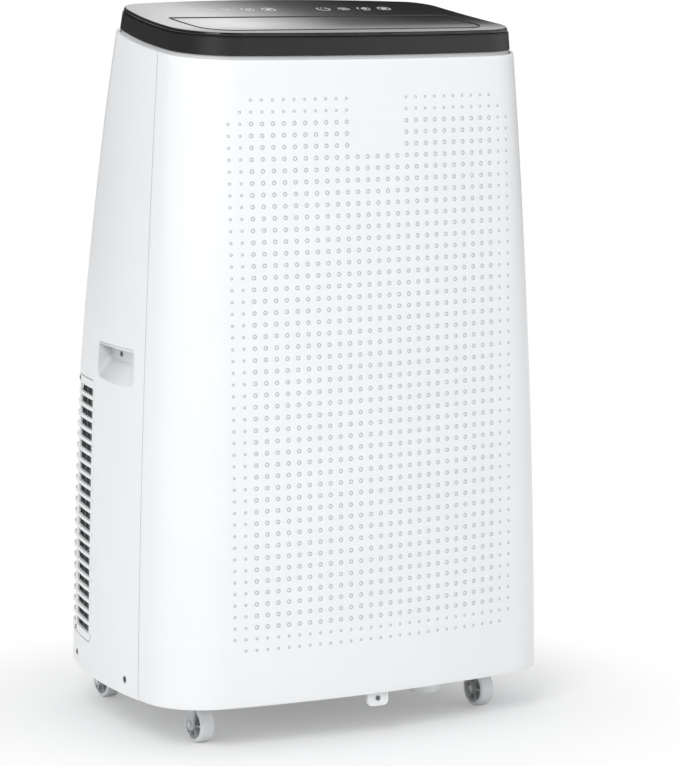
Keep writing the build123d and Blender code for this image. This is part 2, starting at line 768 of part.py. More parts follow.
# Outlet flap with round rear edge, end pins and a drive arm
arm_x = -FLAP_HALF + ARM_INSET


def drive_arm(y, z, hub):
    """Drive arm hanging from a pivot at y, z, with its pin at the lower end."""
    with BuildPart() as arm:
        with BuildSketch(Plane((arm_x, y, z), x_dir=(0, 1, 0), z_dir=(1, 0, 0))):
            with BuildLine():
                Polyline((-hub, 0), (-ARM_TIP, -FLAP_ARM), (ARM_TIP, -FLAP_ARM), (hub, 0), close=True)
            make_face()
            Circle(hub)
            with Locations((0, -FLAP_ARM)):
                Circle(ARM_TIP)
        extrude(amount=ARM_PLATE)
        add(
            rod(
                (arm_x + ARM_PLATE, y, z - FLAP_ARM),
                (arm_x + ARM_PLATE + LINK_PIN_LENGTH, y, z - FLAP_ARM),
                LINK_PIN_RADIUS,
            )
        )
    return arm.part


with BuildPart() as outlet_flap:
    add(flap_outline(0.0, FLAP_HINGE_Y))
    add(deck_slab(0.0, DECK_PLATE), mode=Mode.INTERSECT)
    add(rod((-FLAP_HALF, FLAP_HINGE_Y, hinge_z), (FLAP_HALF, FLAP_HINGE_Y, hinge_z), barrel))
    pin_end = FLAP_HALF + FLAP_PIN_LENGTH
    add(rod((-pin_end, FLAP_HINGE_Y, hinge_z), (pin_end, FLAP_HINGE_Y, hinge_z), FLAP_PIN_RADIUS))
    add(drive_arm(FLAP_HINGE_Y, hinge_z, barrel))
keep(outlet_flap.part, "outlet_flap")

# Flap drive: crank parallel to the flap's arm, joined by a link
crank_y = FLAP_HINGE_Y + LINK_REACH
crank_z = hinge_z - LINK_DROP
shaft_tip = arm_x - CRANK_SHAFT_LENGTH
with BuildPart() as flap_crank:
    add(drive_arm(crank_y, crank_z, CRANK_HUB))
    add(rod((shaft_tip, crank_y, crank_z), (arm_x, crank_y, crank_z), CRANK_SHAFT_RADIUS))
keep(flap_crank.part, "flap_crank")

link_x = arm_x + ARM_PLATE + 0.6
with BuildPart() as flap_link:
    first = (link_x, FLAP_HINGE_Y, hinge_z - FLAP_ARM)
    last = (link_x, crank_y, crank_z - FLAP_ARM)
    reach = Vector(*last) - Vector(*first)
    link_plane = Plane(first, x_dir=reach.normalized(), z_dir=(1, 0, 0))
    with BuildSketch(link_plane):
        with Locations((reach.length / 2, 0)):
            SlotCenterToCenter(reach.length, LINK_WIDTH)
        with Locations((0, 0), (reach.length, 0)):
            Circle(LINK_PIN_RADIUS + RUN, mode=Mode.SUBTRACT)
    extrude(amount=LINK_PLATE)
keep(flap_link.part, "flap_link")

with BuildPart() as flap_motor:
    add(rod((shaft_tip - 8, crank_y, crank_z), (shaft_tip + 3, crank_y, crank_z), MOTOR_CAN_RADIUS))
    add(box_between((shaft_tip - 3, crank_y - 4, crank_z + MOTOR_CAN_RADIUS - 2),
                    (shaft_tip + 1, crank_y + 4, deck_z(crank_y - 4, DECK_PLATE + 0.3))))
    add(
        rod((shaft_tip - 0.5, crank_y, crank_z), (shaft_tip + 4, crank_y, crank_z),
            CRANK_SHAFT_RADIUS + RUN),
        mode=Mode.SUBTRACT,
    )
keep(flap_motor.part, "flap_motor")

# Outlet duct under the flap with fixed guard bars
duct_half = FLAP_HALF - DUCT_SIDE
duct_low = UPPER_FAN_Z + SCROLL_RADIUS + 8.0
duct_high = DECK_FRONT_Z + 30.0
fan_half = FAN_WIDTH / 2 + SCROLL_SPACE
throat_right = SCROLL_RADIUS


def duct_solid(grow):
    """Funnel from the blower throat up to the flap opening."""
    with BuildPart() as funnel:
        with BuildSketch(Plane.XY.offset(duct_low)):
            with Locations((throat_right - THROAT_WIDTH / 2, UPPER_FAN_Y)):
                Rectangle(THROAT_WIDTH + 2 * grow, 2 * (fan_half + grow))
        with BuildSketch(Plane.XY.offset(duct_high)):
            with Locations((0, (FLAP_FRONT_Y + FLAP_HINGE_Y) / 2)):
                Rectangle(2 * (duct_half + grow), FLAP_HINGE_Y - FLAP_FRONT_Y + 2 * (grow - DUCT_END))
        loft()
    return funnel.part


guard_z = DECK_FRONT_Z - GUARD_DROP
with BuildPart() as guard_bars:
    with BuildSketch(Plane.XY.offset(guard_z)):
        with Locations((0, UPPER_FAN_Y)):
            with GridLocations(GUARD_PITCH, 1, GUARD_COUNT, 1):
                Rectangle(GUARD_BAR, 120)
    extrude(amount=GUARD_HEIGHT)
    add(duct_solid(DUCT_WALL / 2), mode=Mode.INTERSECT)
with BuildPart() as outlet_duct:
    add(duct_solid(DUCT_WALL))
    add(duct_solid(0.0), mode=Mode.SUBTRACT)
    add(guard_bars.part)
    add(deck_slab(-120.0, DECK_PLATE + FIT), mode=Mode.SUBTRACT)
keep(outlet_duct.part, "outlet_duct")

# Control board hung under the rear of the deck plate
board_top = DECK_PLATE + BOARD_DROP
with BuildPart() as control_board:
    add(deck_slab(board_top, board_top + BOARD_PLATE))
    add(box_between((-BOARD_HALF, BOARD_NEAR, DECK_FRONT_Z - 60), (BOARD_HALF, BOARD_FAR, LOFT_TOP)),
        mode=Mode.INTERSECT)
    for x in (BOARD_POST_INSET - BOARD_HALF, BOARD_HALF - BOARD_POST_INSET):
        for y in (BOARD_NEAR + BOARD_POST_INSET, BOARD_FAR - BOARD_POST_INSET):
            add(rod((x, y, deck_z(y, board_top + BOARD_PLATE / 2)), (x, y, deck_z(y, DECK_PLATE + GAP)),
                    BOARD_POST_RADIUS))
keep(control_board.part, "control_board")

# Base tray with caster sockets, front lug, sump and drain spout
front_x = half_width(BODY_BOTTOM) - FRONT_WHEEL_INSET
rear_x = half_width(BODY_BOTTOM) - REAR_WHEEL_INSET
CASTERS = (
    ("front_left", -front_x, FRONT_WHEEL_Y, FRONT_WHEEL_Y + CASTER_TRAIL),
    ("front_right", front_x, FRONT_WHEEL_Y, FRONT_WHEEL_Y + CASTER_TRAIL),
    ("rear_left", -rear_x, REAR_WHEEL_Y, REAR_WHEEL_Y - CASTER_TRAIL),
    ("rear_right", rear_x, REAR_WHEEL_Y, REAR_WHEEL_Y - CASTER_TRAIL),
)
tray_inset = SKIN + FIT
lug_y = front_y(BODY_BOTTOM) + SKIN + LUG_RIM_PROUD + 2 * GAP
lug_top = TRAY_Z + TRAY_FLOOR / 3
spout_y = rear_y(DRAIN_Z)
grommet_spots = [(COMPRESSOR_X + GROMMET_CIRCLE * cos(radians(a)),
                  COMPRESSOR_Y + GROMMET_CIRCLE * sin(radians(a)))
                 for a in (30, 150, 270)]
with BuildPart() as base_tray:
    add(body_solid(tray_inset, TRAY_Z, TRAY_Z + TRAY_WALL_HEIGHT))
    add(
        body_solid(tray_inset + TRAY_WALL, TRAY_Z + TRAY_FLOOR, TRAY_Z + TRAY_WALL_HEIGHT + 1),
        mode=Mode.SUBTRACT,
    )
    for name, x, wheel_y, stem_y in CASTERS:
        top = TRAY_Z + STEM_LENGTH + 4
        add(rod((x, stem_y, TRAY_Z), (x, stem_y, top), STEM_RADIUS + SOCKET_WALL))
    for name, x, wheel_y, stem_y in CASTERS:
        top = TRAY_Z + STEM_LENGTH + 0.6
        add(rod((x, stem_y, TRAY_Z - 1), (x, stem_y, top), STEM_RADIUS + RUN), mode=Mode.SUBTRACT)
    add(rod((SUMP_X, SUMP_Y, TRAY_Z - 1), (SUMP_X, SUMP_Y, TRAY_Z + TRAY_FLOOR + 1),
            SUMP_RADIUS - SUMP_WALL), mode=Mode.SUBTRACT)
    lug_plane = Plane((0, lug_y, lug_top), x_dir=(1, 0, 0), z_dir=(0, 1, 0))
    with BuildSketch(lug_plane) as lug:
        with Locations((0, LUG_LENGTH / 2)):
            Rectangle(LUG_WIDTH, LUG_LENGTH)
        fillet(lug.vertices().group_by(Axis.Z)[0], LUG_CORNER)
        with Locations((0, LUG_SCREW_DROP)):
            Circle(LUG_SCREW_RADIUS + FIT, mode=Mode.SUBTRACT)
    extrude(amount=LUG_DEPTH)
    with BuildSketch(lug_plane) as lug_rim:
        with Locations((0, LUG_LENGTH / 2)):
            Rectangle(LUG_WIDTH, LUG_LENGTH)
        fillet(lug_rim.vertices().group_by(Axis.Z)[0], LUG_CORNER)
        with Locations((0, LUG_LENGTH / 2)):
            RectangleRounded(LUG_WIDTH - 2 * LUG_RIM, LUG_LENGTH - 2 * LUG_RIM, LUG_CORNER - LUG_RIM,
                             mode=Mode.SUBTRACT)
    extrude(amount=-LUG_RIM_PROUD)
    add(rod((DRAIN_X, spout_y - SPOUT_LENGTH, DRAIN_Z), (DRAIN_X, spout_y, DRAIN_Z),
            DRAIN_RADIUS + SPOUT_WALL))
    add(rod((DRAIN_X, spout_y - 40, DRAIN_Z), (DRAIN_X, spout_y + 1, DRAIN_Z), DRAIN_RADIUS),
        mode=Mode.SUBTRACT)
    for side in (-1, 1):
        for y, z in SIDE_SCREWS:
            x = side_x(y, z)
            add(rod((side * (x - 20), y, z), (side * (x + 2), y, z), SCREW_RADIUS + FIT),
                mode=Mode.SUBTRACT)
    gland_low = (-DRAIN_X - DRAIN_RADIUS - 4, rear_y(DRAIN_Z) - 20, DRAIN_Z - DRAIN_RADIUS - 4)
    gland_high = (-DRAIN_X + DRAIN_RADIUS + 4, rear_y(DRAIN_Z) + 9, TRAY_Z + TRAY_WALL_HEIGHT + 1)
    add(box_between(gland_low, gland_high), mode=Mode.SUBTRACT)
keep(base_tray.part, "base_tray")

# Sump cup under the tray's outlet
with BuildPart() as sump_cup:
    add(rod((SUMP_X, SUMP_Y, SUMP_BOTTOM), (SUMP_X, SUMP_Y, TRAY_Z), SUMP_RADIUS))
    fillet(sump_cup.edges().group_by(Axis.Z)[0], SUMP_WALL / 2)
    add(rod((SUMP_X, SUMP_Y, SUMP_BOTTOM + SUMP_WALL), (SUMP_X, SUMP_Y, TRAY_Z + 1),
            SUMP_RADIUS - SUMP_WALL), mode=Mode.SUBTRACT)
keep(sump_cup.part, "sump_cup")

with BuildPart() as lug_screw:
    screw_z = lug_top - LUG_SCREW_DROP
    add(rod((0, lug_y - LUG_RIM_PROUD, screw_z), (0, lug_y, screw_z), LUG_SCREW_HEAD))
    add(rod((0, lug_y - LUG_RIM_PROUD, screw_z), (0, lug_y + 2 * LUG_DEPTH, screw_z), LUG_SCREW_RADIUS))
keep(lug_screw.part, "lug_screw")

# Side screws that hold the housing to the tray
screws = []
for side in (-1, 1):
    for y, z in SIDE_SCREWS:
        x = side_x(y, z) - SCREW_SEAT
        shank = rod((side * (x - SCREW_LENGTH), y, z), (side * x, y, z), SCREW_RADIUS)
        head = rod((side * x, y, z), (side * (x + SCREW_HEAD_HEIGHT), y, z), SCREW_HEAD)
        screws.append(shank + head)
with BuildPart() as housing_screws:
    add(screws)
keep(housing_screws.part, "housing_screws")

# Drain cap: plug in the spout with a pull flange
overall_rear = -FRONT_Y
with BuildPart() as drain_cap:
    flange_y = spout_y + FIT
    add(rod((DRAIN_X, spout_y - PLUG_LENGTH, DRAIN_Z), (DRAIN_X, flange_y, DRAIN_Z),
            DRAIN_RADIUS - PLUG_FIT))
    add(rod((DRAIN_X, flange_y, DRAIN_Z), (DRAIN_X, overall_rear, DRAIN_Z), DRAIN_RADIUS + PLUG_FLANGE))
keep(drain_cap.part, "drain_cap")

# Cord gland: grooved bush in the rear skin, without a cord
gland_y = rear_y(DRAIN_Z) - 1.0
with BuildPart() as cord_gland:
    gland_end = gland_y - GLAND_LENGTH
    add(rod((-DRAIN_X, gland_end, DRAIN_Z), (-DRAIN_X, gland_y + 1, DRAIN_Z), DRAIN_RADIUS))
    add(rod((-DRAIN_X, gland_end, DRAIN_Z), (-DRAIN_X, gland_end + GLAND_FLANGE, DRAIN_Z),
            DRAIN_RADIUS + SPOUT_WALL))
    add(rod((-DRAIN_X, gland_end - 1, DRAIN_Z), (-DRAIN_X, gland_y + 2, DRAIN_Z), GLAND_BORE),
        mode=Mode.SUBTRACT)
keep(cord_gland.part, "cord_gland")

# Casters: fork, axle and wheel at each corner
crown_top = TRAY_Z - FORK_LIFT
crown_low = crown_top - FORK_CROWN
ear_in = WHEEL_WIDTH / 2 + WHEEL_PLAY
for name, x, wheel_y, stem_y in CASTERS:
    away = 1 if stem_y > wheel_y else -1
    outer = 1 if x > 0 else -1
    ear_ends = sorted((x + outer * ear_in, x + outer * (ear_in + FORK_PLATE)))
    crown_sides = sorted((x - outer * ear_in, x + outer * (ear_in + FORK_PLATE)))
    with BuildPart() as caster_fork:
        add(rod((x, stem_y, crown_low), (x, stem_y, crown_top), FORK_CROWN_RADIUS))
        crown_ends = sorted((wheel_y - FORK_HEEL * away, stem_y))
        add(box_between((crown_sides[0], crown_ends[0], crown_low),
                        (crown_sides[1], crown_ends[1], crown_top)))
        add(rod((x, stem_y, crown_low), (x, stem_y, crown_top + STEM_LENGTH), STEM_RADIUS))
        with BuildSketch(Plane((ear_ends[0], wheel_y, WHEEL_RADIUS), x_dir=(0, 1, 0), z_dir=(1, 0, 0))):
            rise = crown_top - WHEEL_RADIUS
            with BuildLine():
                Polyline((-FORK_EYE * away, 0), (-FORK_HEEL * away, rise), (CASTER_TRAIL * away, rise),
                         (FORK_EYE * away, 0), close=True)
            make_face()
            Circle(FORK_EYE)
        extrude(amount=FORK_PLATE)
        add(rod((x - 30, wheel_y, WHEEL_RADIUS), (x + 30, wheel_y, WHEEL_RADIUS), AXLE_RADIUS + RUN),
            mode=Mode.SUBTRACT)
    keep(caster_fork.part, f"fork_{name}")
    with BuildPart() as axle:
        add(rod((crown_sides[0] - AXLE_HEAD, wheel_y, WHEEL_RADIUS),
                (crown_sides[1] + AXLE_HEAD, wheel_y, WHEEL_RADIUS), AXLE_RADIUS))
        for tip in (crown_sides[0] - AXLE_HEAD, crown_sides[1]):
            add(rod((tip, wheel_y, WHEEL_RADIUS), (tip + AXLE_HEAD, wheel_y, WHEEL_RADIUS),
                    AXLE_HEAD_RADIUS))
    keep(axle.part, f"axle_{name}")
    with BuildPart() as wheel:
        add(rod((x - WHEEL_WIDTH / 2, wheel_y, WHEEL_RADIUS),
                (x + WHEEL_WIDTH / 2, wheel_y, WHEEL_RADIUS), WHEEL_RADIUS))
        fillet(wheel.edges(), WHEEL_ROUND)
        for start in (x - WHEEL_WIDTH / 2, x + WHEEL_WEB / 2):
            with BuildSketch(Plane((start, wheel_y, WHEEL_RADIUS), x_dir=(0, 1, 0), z_dir=(1, 0, 0))):
                Circle(WHEEL_RADIUS - WHEEL_RIM)
                Circle(WHEEL_HUB, mode=Mode.SUBTRACT)
                with PolarLocations((WHEEL_RADIUS - WHEEL_RIM + WHEEL_HUB) / 2, WHEEL_SPOKES):
                    Rectangle(WHEEL_RADIUS, WHEEL_SPOKE, mode=Mode.SUBTRACT)
            extrude(amount=(WHEEL_WIDTH - WHEEL_WEB) / 2, mode=Mode.SUBTRACT)
        add(rod((x - 30, wheel_y, WHEEL_RADIUS), (x + 30, wheel_y, WHEEL_RADIUS), AXLE_RADIUS + RUN),
            mode=Mode.SUBTRACT)
    keep(wheel.part, f"wheel_{name}")

# Blowers: scroll housing, wheel on its shaft, and motor


def facing_rear(x, y, z):
    """Upright plane that faces the rear, its second axis pointing down."""
    return Plane((x, y, z), x_dir=(1, 0, 0), z_dir=(0, 1, 0))


def scroll_part(x, y, z, hand, rise):
    """Scroll housing round a wheel centre with its throat rising on one hand."""
    depth = 2 * fan_half

    def outline(shrink, start, length, low_cut):
        with BuildPart() as body:
            with BuildSketch(facing_rear(x, start, z)):
                Circle(SCROLL_RADIUS - shrink)
                with Locations((hand * (SCROLL_RADIUS - THROAT_WIDTH / 2), -(rise + low_cut) / 2)):
                    Rectangle(THROAT_WIDTH - 2 * shrink, rise + low_cut)
            extrude(amount=length)
        return body.part

    with BuildPart() as scroll:
        add(outline(0.0, y - depth / 2, depth, 0.0))
        add(outline(SCROLL_WALL, y - depth / 2 + SCROLL_WALL, depth - 2 * SCROLL_WALL, 1.0),
            mode=Mode.SUBTRACT)
        add(rod((x, y, z), (x, y + depth, z), FAN_RADIUS - INLET_LIP), mode=Mode.SUBTRACT)
        add(rod((x, y - depth, z), (x, y, z), SHAFT_RADIUS + SHAFT_PLAY), mode=Mode.SUBTRACT)
    return scroll.part


def fan_part(x, y, z):
    """Blower wheel with blades, end ring, hub and shaft."""
    start = y - FAN_WIDTH / 2
    with BuildPart() as fan:
        with BuildSketch(facing_rear(x, start, z)):
            Circle(FAN_RADIUS)
        extrude(amount=FAN_PLATE)
        with BuildSketch(facing_rear(x, start, z)):
            with PolarLocations(FAN_RADIUS - BLADE_LENGTH / 2 - 1, FAN_BLADES):
                Rectangle(BLADE_LENGTH, BLADE, rotation=BLADE_ANGLE)
        extrude(amount=FAN_WIDTH - 1)
        with BuildSketch(facing_rear(x, start + FAN_WIDTH - FAN_RING_PLATE, z)):
            Circle(FAN_RADIUS)
            Circle(FAN_RADIUS - FAN_RING, mode=Mode.SUBTRACT)
        extrude(amount=FAN_RING_PLATE)
        add(rod((x, start, z), (x, start + FAN_HUB_LENGTH, z), FAN_HUB_RADIUS))
        add(rod((x, start - FAN_SHAFT_LENGTH, z), (x, start + 1, z), SHAFT_RADIUS))
    return fan.part


def motor_part(x, y, z):
    """Fan motor can bolted on the closed face of a scroll."""
    face = y - fan_half
    with BuildPart() as motor:
        add(rod((x, face - FAN_MOTOR_LENGTH, z), (x, face, z), FAN_MOTOR_RADIUS))
        fillet(motor.edges().sort_by(Axis.Y)[0], FAN_MOTOR_ROUND)
        add(rod((x, face - FAN_SHAFT_LENGTH + 2, z), (x, face + 1, z), SHAFT_RADIUS + RUN),
            mode=Mode.SUBTRACT)
    return motor.part


plenum_low = SHELF_Z + 4
keep(scroll_part(0, UPPER_FAN_Y, UPPER_FAN_Z, 1, duct_low - UPPER_FAN_Z - FIT), "upper_scroll")
keep(fan_part(0, UPPER_FAN_Y, UPPER_FAN_Z), "upper_fan")
keep(motor_part(0, UPPER_FAN_Y, UPPER_FAN_Z), "upper_motor")
lower_rise = plenum_low - LOWER_FAN_Z - FIT
keep(scroll_part(LOWER_FAN_X, LOWER_FAN_Y, LOWER_FAN_Z, -1, lower_rise), "lower_scroll")
keep(fan_part(LOWER_FAN_X, LOWER_FAN_Y, LOWER_FAN_Z), "lower_fan")
keep(motor_part(LOWER_FAN_X, LOWER_FAN_Y, LOWER_FAN_Z), "lower_motor")

# Exhaust plenum from the lower scroll to the collar
plenum_left = LOWER_FAN_X - SCROLL_RADIUS - 3
plenum_right = COLLAR_BORE + COLLAR_WALL + 14
plenum_front = LOWER_FAN_Y - fan_half - 2
plenum_high = COLLAR_Z + COLLAR_BORE
wall_point = Vector(*collar_centre) - Vector(*collar_axis) * (COLLAR_IN - 2)


def plenum_back(z):
    """Rear wall of the plenum at height z, square to the collar."""
    return wall_point.Y - (z - wall_point.Z) * tan(collar_lean)


def plenum_solid(shrink):
    """Plenum block, made smaller on every side by shrink."""
    low = plenum_low + shrink
    high = plenum_high - shrink
    front = plenum_front + shrink
    with BuildPart() as block:
        with BuildSketch(Plane.YZ.offset(plenum_left + shrink)):
            with BuildLine():
                Polyline((front, low), (plenum_back(low) - shrink, low),
                         (plenum_back(high) - shrink, high), (front, high), close=True)
            make_face()
        extrude(amount=plenum_right - plenum_left - 2 * shrink)
    return block.part


with BuildPart() as exhaust_plenum:
    add(plenum_solid(0.0))
    add(plenum_solid(SCROLL_WALL), mode=Mode.SUBTRACT)
    with BuildSketch(collar_plane.offset(-COLLAR_IN - 8)):
        Circle(COLLAR_BORE + COLLAR_WALL + FIT)
    extrude(amount=30, mode=Mode.SUBTRACT)
    throat_left = LOWER_FAN_X - SCROLL_RADIUS + SCROLL_WALL
    add(box_between((throat_left, LOWER_FAN_Y - fan_half + SCROLL_WALL, plenum_low - 1),
                    (throat_left + THROAT_WIDTH - 2 * SCROLL_WALL,
                     LOWER_FAN_Y + fan_half - SCROLL_WALL, plenum_low + 9)), mode=Mode.SUBTRACT)
keep(exhaust_plenum.part, "exhaust_plenum")

# Shelf between the hot and the cold bay
with BuildPart() as mid_shelf:
    add(body_solid(SKIN + FIT, SHELF_Z, SHELF_Z + SHELF))
    add(box_between((plenum_left - 2, plenum_front - 2, SHELF_Z - 1),
                    (LOWER_FAN_X - SCROLL_RADIUS + THROAT_WIDTH + 4, LOWER_FAN_Y + fan_half + 4,
                     SHELF_Z + 9)), mode=Mode.SUBTRACT)
    for side in (-1, 1):
        add(handle_block(side, HANDLE_WALL + FIT), mode=Mode.SUBTRACT)
    for x, y in ((SUCTION_X, SUCTION_Y), (LIQUID_X, LIQUID_Y)):
        add(rod((x, y, SHELF_Z - 1), (x, y, SHELF_Z + 9), PIPE_RADIUS + FIT),
            mode=Mode.SUBTRACT)
keep(mid_shelf.part, "mid_shelf")

# Coils: fin packs between end plates with return bends


def coil_part(half, height, bend_rows):
    """Finned coil centred on the origin, standing in the XZ plane."""
    pitch = 2 * half / (FIN_COUNT + 1)
    with BuildPart() as coil:
        Box(2 * half, COIL_DEPTH, height)
        with BuildSketch(Plane.XY.offset(height / 2)):
            for y in (-COIL_DEPTH / 2, COIL_DEPTH / 2):
                with Locations((0, y)):
                    with GridLocations(pitch, 1, FIN_COUNT, 1):
                        Rectangle(pitch * FIN_SHARE, 2 * FIN_NOTCH)
        extrude(amount=-height, mode=Mode.SUBTRACT)
        for side in (-1, 1):
            with Locations((side * (half + COIL_PLATE / 2), 0, 0)):
                Box(COIL_PLATE, COIL_DEPTH + 2 * COIL_PLATE, height)
        for side in (-1, 1):
            for row in range(bend_rows):
                z = (row - (bend_rows - 1) / 2) * height / bend_rows
                bend = Plane((side * (half + COIL_PLATE), 0, z), x_dir=(0, 1, 0), z_dir=(side, 0, 0))
                with BuildSketch(bend):
                    SlotCenterToCenter(COIL_BEND_REACH, COIL_BEND_WIDTH)
                extrude(amount=COIL_BEND_DEPTH)
    return coil.part


condenser_y = LOWER_FAN_Y + fan_half + COIL_SPACE + COIL_DEPTH / 2
condenser_z = TRAY_Z + TRAY_FLOOR + CONDENSER_LIFT + CONDENSER_HEIGHT / 2
with BuildPart() as condenser_coil:
    add(Pos(0, condenser_y, condenser_z) * coil_part(CONDENSER_HALF, CONDENSER_HEIGHT, CONDENSER_BENDS))
    for side in (-1, 1):
        leg_x = side * (CONDENSER_HALF - CONDENSER_LEG_INSET)
        leg_half, leg_depth = CONDENSER_LEG[0] / 2, CONDENSER_LEG[1] / 2
        add(box_between((leg_x - leg_half, condenser_y - leg_depth, TRAY_Z + TRAY_FLOOR),
                        (leg_x + leg_half, condenser_y + leg_depth,
                         condenser_z - CONDENSER_HEIGHT / 2 + 2)))
keep(condenser_coil.part, "condenser_coil")

evaporator_place = Pos(0, rear_y(intake_mid) - EVAPORATOR_BACK, intake_mid) * Rot(REAR_LEAN, 0, 0)
with BuildPart() as evaporator_coil:
    add(evaporator_place * coil_part(EVAPORATOR_HALF, EVAPORATOR_HEIGHT, EVAPORATOR_BENDS))
keep(evaporator_coil.part, "evaporator_coil")

# Drip tray under the evaporator, on the plenum
coil_foot = evaporator_place * Pos(0, -COIL_DEPTH / 2, -EVAPORATOR_HEIGHT / 2)
foot_y = coil_foot.position.Y
foot_z = coil_foot.position.Z
drip_low = plenum_high + 0.2
with BuildPart() as drip_tray:
    tray_far = foot_y + COIL_DEPTH
    drip_half = EVAPORATOR_HALF + DRIP_MARGIN
    add(box_between((-drip_half - DRIP_WALL, foot_y - DRIP_MARGIN - DRIP_WALL, drip_low),
                    (drip_half + DRIP_WALL, tray_far, foot_z - DRIP_WALL)))
    add(box_between((-drip_half, foot_y - DRIP_MARGIN, drip_low + DRIP_WALL),
                    (drip_half, tray_far - DRIP_WALL, foot_z)), mode=Mode.SUBTRACT)
    add(box_between((DRIP_MARGIN - EVAPORATOR_HALF, foot_y - 3, drip_low + 1),
                    (EVAPORATOR_HALF - DRIP_MARGIN, foot_y + 2, foot_z - 0.3)))
keep(drip_tray.part, "drip_tray")

# Compressor on rubber grommets, with its accumulator
floor_z = TRAY_Z + TRAY_FLOOR
foot_plate = floor_z + GROMMET_HEIGHT
can_low = foot_plate + COMPRESSOR_LIFT
with BuildPart() as compressor_grommets:
    with Locations(*[(x, y, floor_z + GROMMET_HEIGHT / 2) for x, y in grommet_spots]):
        Cylinder(GROMMET_RADIUS, GROMMET_HEIGHT)
        Cylinder(GROMMET_HOLE, GROMMET_HEIGHT, mode=Mode.SUBTRACT)
keep(compressor_grommets.part, "compressor_grommets")

with BuildPart() as compressor:
    add(rod((COMPRESSOR_X, COMPRESSOR_Y, can_low),
            (COMPRESSOR_X, COMPRESSOR_Y, can_low + COMPRESSOR_HEIGHT), COMPRESSOR_RADIUS))
    fillet(compressor.edges(), COMPRESSOR_ROUND)
    with BuildSketch(Plane.XY.offset(foot_plate)):
        with Locations((COMPRESSOR_X, COMPRESSOR_Y)):
            Circle(FOOT_PLATE_RADIUS)
        with Locations(*grommet_spots):
            Circle(FOOT_EAR)
        with Locations(*grommet_spots):
            Circle(GROMMET_HOLE, mode=Mode.SUBTRACT)
    extrude(amount=FOOT_PLATE)
    add(rod((COMPRESSOR_X, COMPRESSOR_Y, foot_plate),
            (COMPRESSOR_X, COMPRESSOR_Y, can_low + COMPRESSOR_ROUND + 2), COMPRESSOR_SKIRT))
keep(compressor.part, "compressor")

accumulator_x = COMPRESSOR_X - COMPRESSOR_RADIUS - ACCUMULATOR_RADIUS - 0.3
accumulator_top = can_low + ACCUMULATOR_HIGH
with BuildPart() as accumulator:
    add(rod((accumulator_x, COMPRESSOR_Y, can_low + ACCUMULATOR_LOW),
            (accumulator_x, COMPRESSOR_Y, accumulator_top), ACCUMULATOR_RADIUS))
    fillet(accumulator.edges(), ACCUMULATOR_ROUND)
keep(accumulator.part, "accumulator")

# Refrigerant lines
bend_end = COIL_PLATE + COIL_BEND_DEPTH + FIT
evaporator_end = EVAPORATOR_HALF + bend_end
condenser_end = CONDENSER_HALF + bend_end
run_x = condenser_end + DISCHARGE_OUT
discharge_x = COMPRESSOR_X + DISCHARGE_X
discharge = tube_run(
    [(discharge_x, COMPRESSOR_Y, can_low + COMPRESSOR_HEIGHT + PIPE_START),
     (discharge_x, COMPRESSOR_Y, DISCHARGE_Z), (run_x, COMPRESSOR_Y, DISCHARGE_Z),
     (run_x, condenser_y, DISCHARGE_Z), (condenser_end, condenser_y, DISCHARGE_Z)],
    PIPE_RADIUS, PIPE_BEND)
keep(discharge, "discharge_line")
upper_row = (evaporator_place * Pos(0, 0, EVAPORATOR_HEIGHT * 3 / 8)).position
lower_row = (evaporator_place * Pos(0, 0, -EVAPORATOR_HEIGHT * 3 / 8)).position
suction = tube_run(
    [(accumulator_x, COMPRESSOR_Y, accumulator_top + PIPE_START), (accumulator_x, COMPRESSOR_Y, SUCTION_Z),
     (SUCTION_X, SUCTION_Y, SUCTION_Z), (SUCTION_X, SUCTION_Y, upper_row.Z),
     (SUCTION_X, upper_row.Y, upper_row.Z), (evaporator_end, upper_row.Y, upper_row.Z)],
    PIPE_RADIUS, PIPE_TIGHT_BEND)
keep(suction, "suction_line")
liquid = tube_run(
    [(condenser_end, condenser_y, LIQUID_Z), (LIQUID_X, condenser_y, LIQUID_Z),
     (LIQUID_X, LIQUID_Y, LIQUID_Z), (LIQUID_X, LIQUID_Y, lower_row.Z),
     (LIQUID_X, lower_row.Y, lower_row.Z), (evaporator_end, lower_row.Y, lower_row.Z)],
    LIQUID_RADIUS, PIPE_TIGHT_BEND)
keep(liquid, "liquid_line")

# Electrical box on the tray
with BuildPart() as electrical_box:
    add(box_between((*BOX_LOW, floor_z), (*BOX_HIGH, floor_z + BOX_HEIGHT)))
    fillet(electrical_box.edges().filter_by(Axis.Z), BOX_ROUND)
keep(electrical_box.part, "electrical_box")
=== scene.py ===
"""Looks of a portable air conditioner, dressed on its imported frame."""
import logging
from dataclasses import dataclass, field
from enum import Enum
from functools import cache
from math import asin, atan2, cos, hypot, pi, radians, sin, sqrt, tan

import bmesh
import bpy
from mathutils import Matrix, Vector


